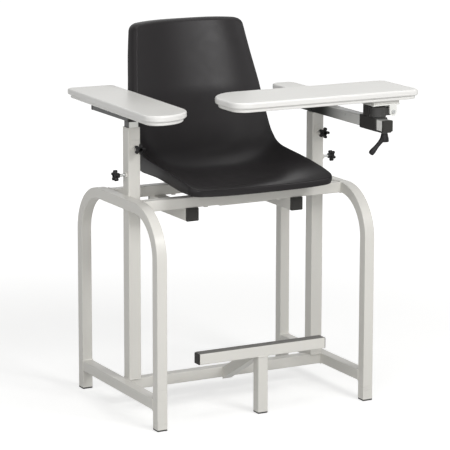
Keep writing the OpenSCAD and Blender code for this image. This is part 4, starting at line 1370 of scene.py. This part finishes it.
@dataclass
class StarKnob:
    """Five-lobed clamp knob on a stud that points along +Z."""

    radius: float = 0.017
    thickness: float = 0.013
    reach: float = 0.036
    boss_radius: float = 0.0075
    boss: float = 0.006
    lobes: int = 5
    lobe_share: float = 0.27
    core_share: float = 0.48
    steps: int = 12
    rounding: float = 0.0026
    border: float = 0.0006
    dish_border: float = 0.0012
    dish: float = 0.0008
    boss_round: float = 0.0008
    boss_overlap: float = 0.001
    boss_flare_share: float = 1.1
    insert_radius: float = 0.0052
    insert_top_radius: float = 0.0046
    insert_depth: float = 0.003
    insert_edge: float = 0.0004
    post_wall: float = 0.002875

    def outline(self, turn: float) -> float:
        """Radius of the outline at an angle, as a share of the knob's radius.

        Args:
            turn: Angle in radians from the middle of a lobe.

        Returns:
            The share.
        """
        centre = 1 - self.lobe_share
        square = self.lobe_share**2 - (centre * math.sin(turn)) ** 2
        lobe = centre * math.cos(turn) + math.sqrt(square) if square > 0 else 0
        return max(lobe, self.core_share)

    def pattern(self) -> bpy.types.Object:
        """Draws the lobes out of a disc, rounds and dishes it and adds the boss."""
        low, high = self.reach - self.thickness / 2, self.reach + self.thickness / 2
        star = Bench.turned(
            "knob_star", [(self.radius, low), (self.radius, high)], self.lobes * self.steps
        )
        lobe_turn = 2 * math.pi / self.lobes
        for k in range(1, self.steps):
            share = self.outline(lobe_turn * min(k, self.steps - k) / self.steps)

            def at_step(m: Vector, d: Vector, k: int = k) -> bool:
                """Whether an edge stands at this step of any lobe."""
                place = math.atan2(m.y, m.x) / lobe_turn * self.steps
                return abs(d.z) > ALONG and abs((place - k + 1) % self.steps - 1) < 0.1

            Bench.pick(star, "EDGE", at_step)
            bpy.ops.transform.resize(value=(share, share, 1), center_override=(0, 0, 0))
            Bench.clear()
        Bench.round_edges(
            star, lambda m, d: abs(d.z) < LEVEL and min(abs(m.z - low), abs(m.z - high)) < CLOSE,
            self.rounding, 4,
        )
        for border, depth in ((self.border, 0), (self.dish_border, -self.dish)):
            Bench.sink(star, lambda m, n: n.z > ALONG and m.z > high - CLOSE, border, depth)
        boss = Bench.turned(
            "knob_boss",
            [(self.boss_radius, low - self.boss),
             (self.boss_radius * self.boss_flare_share, low + self.boss_overlap)],
            32,
        )
        Bench.soften(boss, self.boss_round)
        insert = Bench.turned(
            "knob_insert",
            [(self.insert_radius, high - self.insert_depth),
             (self.insert_radius, high - self.insert_edge), (self.insert_top_radius, high)],
            24,
        )
        Bench.shade(insert)
        knob = Bench.join("knob_pattern", [star, boss, insert])
        Bench.smooth(knob, 50)
        return knob

    def build(self) -> None:
        """Copies the knob to its four places, each on the outer face of its post."""
        pattern = self.pattern()
        for side in Side:
            word = side.name.lower()
            facing = Facing.RIGHTWARD if side is Side.RIGHT else Facing.LEFTWARD
            low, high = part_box(word + "_low_stud")
            lower = Bench.middle(word + "_low_stud")
            inner = low.x if side is Side.RIGHT else high.x
            lower.x = inner + self.post_wall * side.value
            upper = Bench.middle(word + "_high_stud")
            upper.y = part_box(word + "_high_stud")[1].y - self.post_wall
            for level, spot, way in (("low", lower, facing), ("high", upper, Facing.FORWARD)):
                place = Matrix.Translation(spot) @ way.turn()
                knob = Bench.copy(pattern, f"{word}_{level}_star", place)
                Bench.stand_in(knob, KNOB, "knob", f"{word}_{level}_knob")
        Bench.remove(pattern)


@dataclass
class ClampLever:
    """Ratchet lever under the slider: hub, sloping arm and swollen grip."""

    hub_radius: float = 0.013
    hub_top_radius: float = 0.010
    hub_height: float = 0.023
    hub_share: float = 0.93
    pocket_radius: float = 0.007
    pocket_depth: float = 0.0112
    slope: float = 45.0
    reach: float = 0.040
    root_share: float = 0.6
    arm_steps: Steps = ((0.0086, -0.001), (0.0082, 0.008), (0.0070, 0.016), (0.0062, 0.026))
    grip_steps: Steps = (
        (0.0063, -0.020), (0.0074, -0.012), (0.0085, -0.005), (0.0087, 0.002),
        (0.0078, 0.0068), (0.0050, 0.0087),
    )

    def build(self) -> bpy.types.Object:
        """Builds the hub with its pocket, and the arm with its grip."""
        stud = Bench.middle("lever_stud")
        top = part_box("lever_handle")[1].z
        base = top - self.hub_height
        foot = self.hub_radius * self.hub_share
        hub = Bench.turned(
            "lever_hub",
            [(foot, base), (self.hub_radius, base + 0.0015),
             (self.hub_radius * 0.98, base + 0.009), (self.hub_top_radius * 1.02, top - 0.003),
             (self.hub_top_radius, top)],
            40,
        )
        Bench.sink(hub, lambda m, n: n.z < -ALONG, foot - self.pocket_radius, -self.pocket_depth)
        Bench.soften(hub, 0.0005, 2)
        length = self.reach / math.cos(math.radians(self.slope))
        grip = [(radius, length + height) for radius, height in self.grip_steps]
        arm = Bench.turned("lever_arm", [*self.arm_steps, *grip], 28)
        Bench.modify(arm, "SUBSURF", levels=1, render_levels=1)
        Bench.settle(
            arm,
            Matrix.Translation((0, 0, base + self.hub_height * self.root_share))
            @ Matrix.Rotation(math.radians(180 + self.slope), 4, "Y"),
        )
        lever = Bench.join("lever_handle_moulding", [hub, arm])
        Bench.settle(lever, Matrix.Translation((stud.x, stud.y, 0)))
        Bench.smooth(lever, 45)
        return Bench.stand_in(lever, KNOB, "knob", "lever_handle")


@dataclass
class SwivelCarrier:
    """The slider sleeve, the swivel head on it and the bolt of its hinge."""

    sleeve_wall: float = 0.0037
    sleeve_length: float = 0.088
    sleeve_corner: float = 0.0034
    tongue_width: float = 0.03175
    tongue_corner: float = 0.005
    tongue_root: float = 0.001
    boss_radius: float = 0.009
    boss_height: float = 0.004
    head_radius: float = 0.024
    head_height: float = 0.029
    head_well: tuple[float, float] = (0.0103, 0.006)
    low_steps: Steps = ((-0.0012, 0), (0, 0.0012), (0, 0.005), (-0.0008, 0.006))
    top_steps: Steps = ((-0.0008, -0.006), (0, -0.005), (0, -0.0015), (-0.0015, 0))
    rest_half: float = 0.020
    rest_behind: float = 0.018
    hinge_rise: float = 0.0135
    barrel_length: float = 0.024
    bolt_radius: float = 0.004
    bolt_start: float = 0.0035
    bolt_head: Steps = ((0.0052, 0), (0.0064, 0.0006), (0.0064, 0.0040))

    def sleeve(self) -> bpy.types.Object:
        """Builds the sleeve as a tube with a tongue and the lever's boss."""
        low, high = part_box("slider_sleeve")
        under = low.z + self.boss_height
        front = high.y - self.sleeve_length
        tube = Bench.block("sleeve_tube", (low.x, front, under), high)
        Bench.round_edges(tube, lambda m, d: abs(d.y) > ALONG, self.sleeve_corner, 5)
        Bench.pick(tube, "FACE", lambda m, n: abs(n.y) > ALONG)
        bpy.ops.mesh.inset(thickness=self.sleeve_wall, depth=0, use_individual=True)
        bpy.ops.mesh.bridge_edge_loops()
        Bench.clear()
        Bench.soften(tube, 0.0007, 2, 60)
        mid = (low.x + high.x) / 2
        half = self.tongue_width / 2
        tongue = Bench.block(
            "sleeve_tongue", (mid - half, low.y, under),
            (mid + half, front + self.tongue_root, under + self.sleeve_wall),
        )
        Bench.round_edges(
            tongue, lambda m, d: abs(d.z) > ALONG and m.y < front, self.tongue_corner, 5
        )
        Bench.soften(tongue, 0.0006, 2, 60)
        boss = Bench.turned(
            "sleeve_boss",
            [(self.boss_radius, low.z), (self.boss_radius, under + self.sleeve_wall / 2)], 40,
        )
        stud = Bench.middle("lever_stud")
        Bench.settle(boss, Matrix.Translation((stud.x, stud.y, 0)))
        Bench.soften(boss, 0.0005, 2)
        piece = Bench.join("slider_sleeve_casting", [tube, tongue, boss])
        return Bench.stand_in(piece, BLACK_STEEL, "black_metal", "slider_sleeve")

    def head(self) -> bpy.types.Object:
        """Builds the swivel head with its rest block and hinge barrel."""
        low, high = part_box("swivel_head")
        x, y, _ = Bench.middle("swivel_stud")
        top = low.z + self.head_height
        drum = Bench.turned(
            "swivel_drum",
            [(self.head_radius + r, low.z + h) for r, h in self.low_steps]
            + [(self.head_radius + r, top + h) for r, h in self.top_steps],
            72,
        )
        well, depth = self.head_well
        border = self.head_radius + self.top_steps[-1][0] - well
        Bench.sink(drum, lambda m, n: n.z > ALONG, border, -depth)
        Bench.settle(drum, Matrix.Translation((x, y, 0)))
        Bench.shade(drum, 30)
        block = Bench.block(
            "swivel_rest", (x - self.rest_half, y + self.rest_behind, low.z),
            (x + self.rest_half, high.y, high.z),
        )
        Bench.soften(block, 0.0012)
        hinge_x, hinge_z = Bench.middle("hinge_bolt").x, low.z + self.hinge_rise
        radius = high.x - hinge_x
        half = self.barrel_length / 2
        arm = Bench.block(
            "swivel_arm", (x, y - half, hinge_z - radius), (hinge_x, y + half, hinge_z + radius)
        )
        Bench.soften(arm, 0.0008)
        barrel = Bench.turned("swivel_barrel", [(radius, -half), (radius, half)], 48)
        Bench.settle(
            barrel,
            Matrix.Translation((hinge_x, y, hinge_z)) @ Matrix.Rotation(math.pi / 2, 4, "X"),
        )
        Bench.soften(barrel, 0.0008)
        piece = Bench.join("swivel_head_casting", [drum, block, arm, barrel])
        return Bench.stand_in(piece, BLACK_STEEL, "black_metal", "swivel_head")

    def bolt(self) -> bpy.types.Object:
        """Builds the hinge bolt with its hexagon head."""
        low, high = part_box("hinge_bolt")
        x, z = Bench.middle("hinge_bolt").x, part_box("swivel_head")[0].z + self.hinge_rise
        shank = Bench.turned(
            "bolt_shank",
            [(self.bolt_radius, self.bolt_start), (self.bolt_radius, high.y - low.y)], 32,
        )
        hexagon = Bench.turned("bolt_head", self.bolt_head, 6)
        Bench.soften(hexagon, 0.0003, 2)
        Bench.shade(shank)
        bolt = Bench.join("hinge_bolt_turned", [shank, hexagon])
        Bench.settle(
            bolt, Matrix.Translation((x, low.y, z)) @ Matrix.Rotation(-math.pi / 2, 4, "X")
        )
        return Bench.stand_in(bolt, ZINC, "zinc", "hinge_bolt")

    def build(self) -> None:
        """Builds the sleeve, the head and the bolt."""
        self.sleeve()
        self.head()
        self.bolt()


@dataclass
class Welds:
    """Weld beads where the tubes meet."""

    radius: float = 0.0021
    pitch: float = 0.0026
    ripple: float = 0.14
    ripple_turns: tuple[float, float] = (2.4, 0.37)
    tube: float = 0.03175
    stop_short: float = 0.002

    def bead(self, name: str, path: Sequence[Place]) -> bpy.types.Object:
        """Lays one rippled bead along a path.

        Args:
            name: Name of the bead.
            path: Corners of the path.

        Returns:
            The bead as a mesh.
        """
        points: list[Vector] = []
        for a, b in zip(path, path[1:]):
            start, end = Vector(a), Vector(b)
            count = max(2, round((end - start).length / self.pitch))
            points += [start.lerp(end, k / count) for k in range(count)]
        points.append(Vector(path[-1]))
        curve = bpy.data.curves.new(name, "CURVE")
        curve.dimensions = "3D"
        curve.bevel_depth = self.radius
        curve.bevel_resolution = 2
        curve.use_fill_caps = True
        spline = curve.splines.new("POLY")
        spline.points.add(len(points) - 1)
        for k, (knot, spot) in enumerate(zip(spline.points, points)):
            knot.co = (*spot, 1)
            quick, slow = (k * turn for turn in self.ripple_turns)
            knot.radius = 1 + self.ripple * (math.sin(quick) + 0.5 * math.sin(slow + 1))
        bead = bpy.data.objects.new(name, curve)
        bpy.context.scene.collection.objects.link(bead)
        Bench.hold(bead)
        bpy.ops.object.convert(target="MESH")
        bead = bpy.context.object
        Bench.shade(bead, 60)
        return bead

    @staticmethod
    def ring(axis: int, at: float, low: Vector, high: Vector) -> list[Place]:
        """Corners of the square round a tube's end, closed.

        Args:
            axis: Axis that the tube runs along, 0 to 2.
            at: Where on that axis the bead lies.
            low: Lowest corner of the tube.
            high: Highest corner of the tube.

        Returns:
            Five corners, the first one again at the end.
        """
        u, v = [k for k in range(3) if k != axis]
        spots: list[Place] = []
        for s, t in ((low, low), (high, low), (high, high), (low, high), (low, low)):
            spot = [0.0, 0.0, 0.0]
            spot[axis], spot[u], spot[v] = at, s[u], t[v]
            spots.append((spot[0], spot[1], spot[2]))
        return spots

    def build(self) -> bpy.types.Object:
        """Lays the beads of the whole frame and joins them."""
        paths: list[list[Place]] = []
        for word in ("left", "right"):
            low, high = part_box(word + "_side_rail")
            paths += [self.ring(1, low.y, low, high), self.ring(1, high.y, low, high)]
        for name in ("lower_cross_rail", "front_seat_rail", "rear_seat_rail"):
            low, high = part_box(name)
            paths += [self.ring(0, low.x, low, high), self.ring(0, high.x, low, high)]
        low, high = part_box("footrest_leg")
        paths.append(self.ring(2, high.z, low, high))
        for word in ("left", "right"):
            low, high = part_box(word + "_post")
            paths.append([(low.x, low.y, low.z), (high.x, low.y, low.z)])
            paths.append([(low.x, high.y, low.z), (high.x, high.y, low.z)])
            arch_low, arch_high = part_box(word + "_arch")
            inner = arch_low.x if word == "right" else arch_high.x
            for z in (arch_high.z, arch_high.z - self.tube):
                paths.append([(inner, low.y, z), (inner, high.y, z)])
            rail_low, rail_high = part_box(word + "_bearer")
            for name in ("front_seat_rail", "rear_seat_rail"):
                cross_low, cross_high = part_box(name)
                ends = (cross_low.y + self.stop_short, cross_high.y - self.stop_short)
                for x in (rail_low.x, rail_high.x):
                    paths.append([(x, y, rail_high.z) for y in ends])
        beads = [self.bead(f"weld_{k}", path) for k, path in enumerate(paths)]
        piece = Bench.join("frame_weld_beads", beads)
        piece.data.materials.clear()
        piece.data.materials.append(PAINT.material())
        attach(piece, frame["nodes"]["left_arch"]["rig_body"])
        LOG.info("%s: %d beads", piece.name, len(paths))
        return piece


class SolidDressing:
    """Finishes for the solids that are shown as they are."""

    @staticmethod
    def finish_of(node: str) -> Finish:
        """Picks the finish of a solid by its name.

        Args:
            node: Name of the solid.

        Returns:
            Its finish.
        """
        if node == "right_arm_bar":
            return CHROME
        if node.endswith(("arm_tube", "arm_bar")):
            return CHROME_UP
        if node.endswith(("_stud", "_screws", "_bolt")):
            return ZINC
        if node == "hinge_bracket":
            return BRACKET_PAINT
        if node == "seat_spacers":
            return SPACER
        return PAINT

    def build(self) -> None:
        """Gives every shown solid its finish."""
        for name, node in frame["nodes"].items():
            if node.hide_render:
                continue
            finish = self.finish_of(name)
            node.data.materials.clear()
            node.data.materials.append(finish.material())
            LOG.info("%s: %s", name, finish.name)


@dataclass(frozen=True)
class Softbox:
    """One soft lamp: its place, what it points at, its width and height, and its watts."""

    name: str
    spot: Place
    aim: Place
    size: tuple[float, float]
    watts: float

    def hang(self) -> None:
        """Adds the lamp and points it."""
        bpy.ops.object.light_add(type="AREA", location=self.spot)
        lamp = bpy.context.object
        lamp.name = self.name
        lamp.data.shape = "RECTANGLE"
        lamp.data.size, lamp.data.size_y = self.size
        lamp.data.energy = self.watts
        ahead = Vector(self.aim) - Vector(self.spot)
        lamp.rotation_euler = ahead.to_track_quat("-Z", "Y").to_euler()


@dataclass
class Studio:
    """Pale floor, soft lamps and the photograph's camera."""

    eye: Place = (-3.25722, -6.14124, 1.98305)
    heading: float = 28.43575
    dip: float = -10.8892
    roll: float = 0.19396
    focal_pixels: float = 2401.06
    frame_pixels: int = 450
    middle: tuple[float, float] = (245.0, 182.0)
    sensor: float = 36.0
    ambient: float = 0.11
    floor_fill: float = 0.62
    floor_size: float = 120.0
    floor_drop: float = 0.0003
    lamps: tuple[Softbox, ...] = (
        Softbox("Key softbox", (0.95, -3.3, 2.63), (0, 0.2, 1.0), (1.5, 0.8), 66),
        Softbox("Low front fill", (-0.6, -4.4, 1.2), (0, 0, 0.8), (1.5, 1.5), 22),
        Softbox("Top softbox", (0.0, -0.3, 3.5), (0, 0, 0.6), (2.6, 2.6), 40),
        Softbox("Left fill", (-2.7, -4.1, 2.3), (0, 0, 0.8), (2.2, 2.2), 60),
        Softbox("Side fill", (-4.0, -1.2, 2.0), (0, 0, 0.8), (2.0, 2.0), 28),
    )

    def camera(self) -> None:
        """Places the camera as it was worked out from the photograph."""
        yaw, pitch, roll = (math.radians(v) for v in (self.heading, self.dip, self.roll))
        ahead = Vector(
            (math.sin(yaw) * math.cos(pitch), math.cos(yaw) * math.cos(pitch), math.sin(pitch))
        )
        level = Vector((math.cos(yaw), -math.sin(yaw), 0))
        up = level.cross(ahead)
        right = level * math.cos(roll) + up * math.sin(roll)
        up = up * math.cos(roll) - level * math.sin(roll)
        bpy.ops.object.camera_add()
        camera = bpy.context.object
        turn = Matrix((right, up, -ahead)).transposed().to_4x4()
        camera.matrix_world = Matrix.Translation(self.eye) @ turn
        lens = camera.data
        lens.sensor_width = self.sensor
        lens.lens = self.focal_pixels / self.frame_pixels * self.sensor
        lens.shift_x = 0.5 - self.middle[0] / self.frame_pixels
        lens.shift_y = self.middle[1] / self.frame_pixels - 0.5
        lens.clip_end = 200
        bpy.context.scene.camera = camera

    @staticmethod
    def seen_white(g: Graph) -> bpy.types.NodeSocket:
        """Tells the rays that see the white surroundings from those that light the chair.

        Args:
            g: Graph of the material or the world.

        Returns:
            One for rays from the camera, from gloss and through glass, else zero.
        """
        path = g.add("LightPath")
        seen = g.sum("MAXIMUM", path.outputs["Is Camera Ray"], path.outputs["Is Glossy Ray"])
        return g.sum("MAXIMUM", seen, path.outputs["Is Transmission Ray"])

    def world(self) -> None:
        """White surroundings for the eye, and plain soft light for the object."""
        world = bpy.data.worlds.new("Studio surroundings")
        bpy.context.scene.world = world
        world.use_nodes = True
        world.node_tree.nodes.clear()
        g = Graph(world.node_tree)
        strength = g.blend(self.seen_white(g), self.ambient, 1.0)
        plain = g.add("Background", Color=(1, 1, 1, 1), Strength=strength)
        g.add("OutputWorld", Surface=plain.outputs[0])

    def floor(self) -> None:
        """A wide pale floor that keeps the chair's shadow."""
        bpy.ops.mesh.primitive_plane_add(size=self.floor_size, location=(0, 0, -self.floor_drop))
        floor = Bench.named("studio_floor")
        made = bpy.data.materials.new("Studio floor")
        made.use_nodes = True
        made.node_tree.nodes.clear()
        g = Graph(made.node_tree)
        far = g.add("VectorMath", {"operation": "LENGTH"})
        g.feed(far.inputs[0], g.where())
        grow = g.spread(far.outputs["Value"], 0.8, 3.2)
        glow = g.sum("MULTIPLY_ADD", grow, 1 - self.floor_fill, self.floor_fill)
        light = g.add(
            "Emission", Color=(1, 1, 1, 1), Strength=g.sum("MULTIPLY", glow, self.seen_white(g))
        )
        matt = g.add("BsdfDiffuse", Color=(0.6, 0.6, 0.59, 1))
        both = g.add("AddShader")
        g.feed(both.inputs[0], light.outputs[0])
        g.feed(both.inputs[1], matt.outputs[0])
        g.add("OutputMaterial", Surface=both.outputs[0])
        floor.data.materials.append(made)

    def build(self) -> None:
        """Sets the whole studio up."""
        Bench.clear()
        self.world()
        self.floor()
        for lamp in self.lamps:
            lamp.hang()
        self.camera()
        bpy.context.scene.view_settings.view_transform = "Standard"
        LOG.info("studio: camera and lamps set")


def main() -> None:
    """Builds and dresses the whole chair."""
    logging.basicConfig(level=logging.INFO, format="%(name)s: %(message)s")
    for name, part in (
        ("seat shell", SeatShell()),
        ("arm boards", ArmBoards()),
        ("plugs and caps", Plugs()),
        ("tread", Tread()),
        ("star knobs", StarKnob()),
        ("clamp lever", ClampLever()),
        ("swivel carrier", SwivelCarrier()),
        ("welds", Welds()),
        ("solids", SolidDressing()),
        ("studio", Studio()),
    ):
        LOG.info("building the %s", name)
        part.build()
    Bench.clear()


if __name__ == "__main__":
    main()
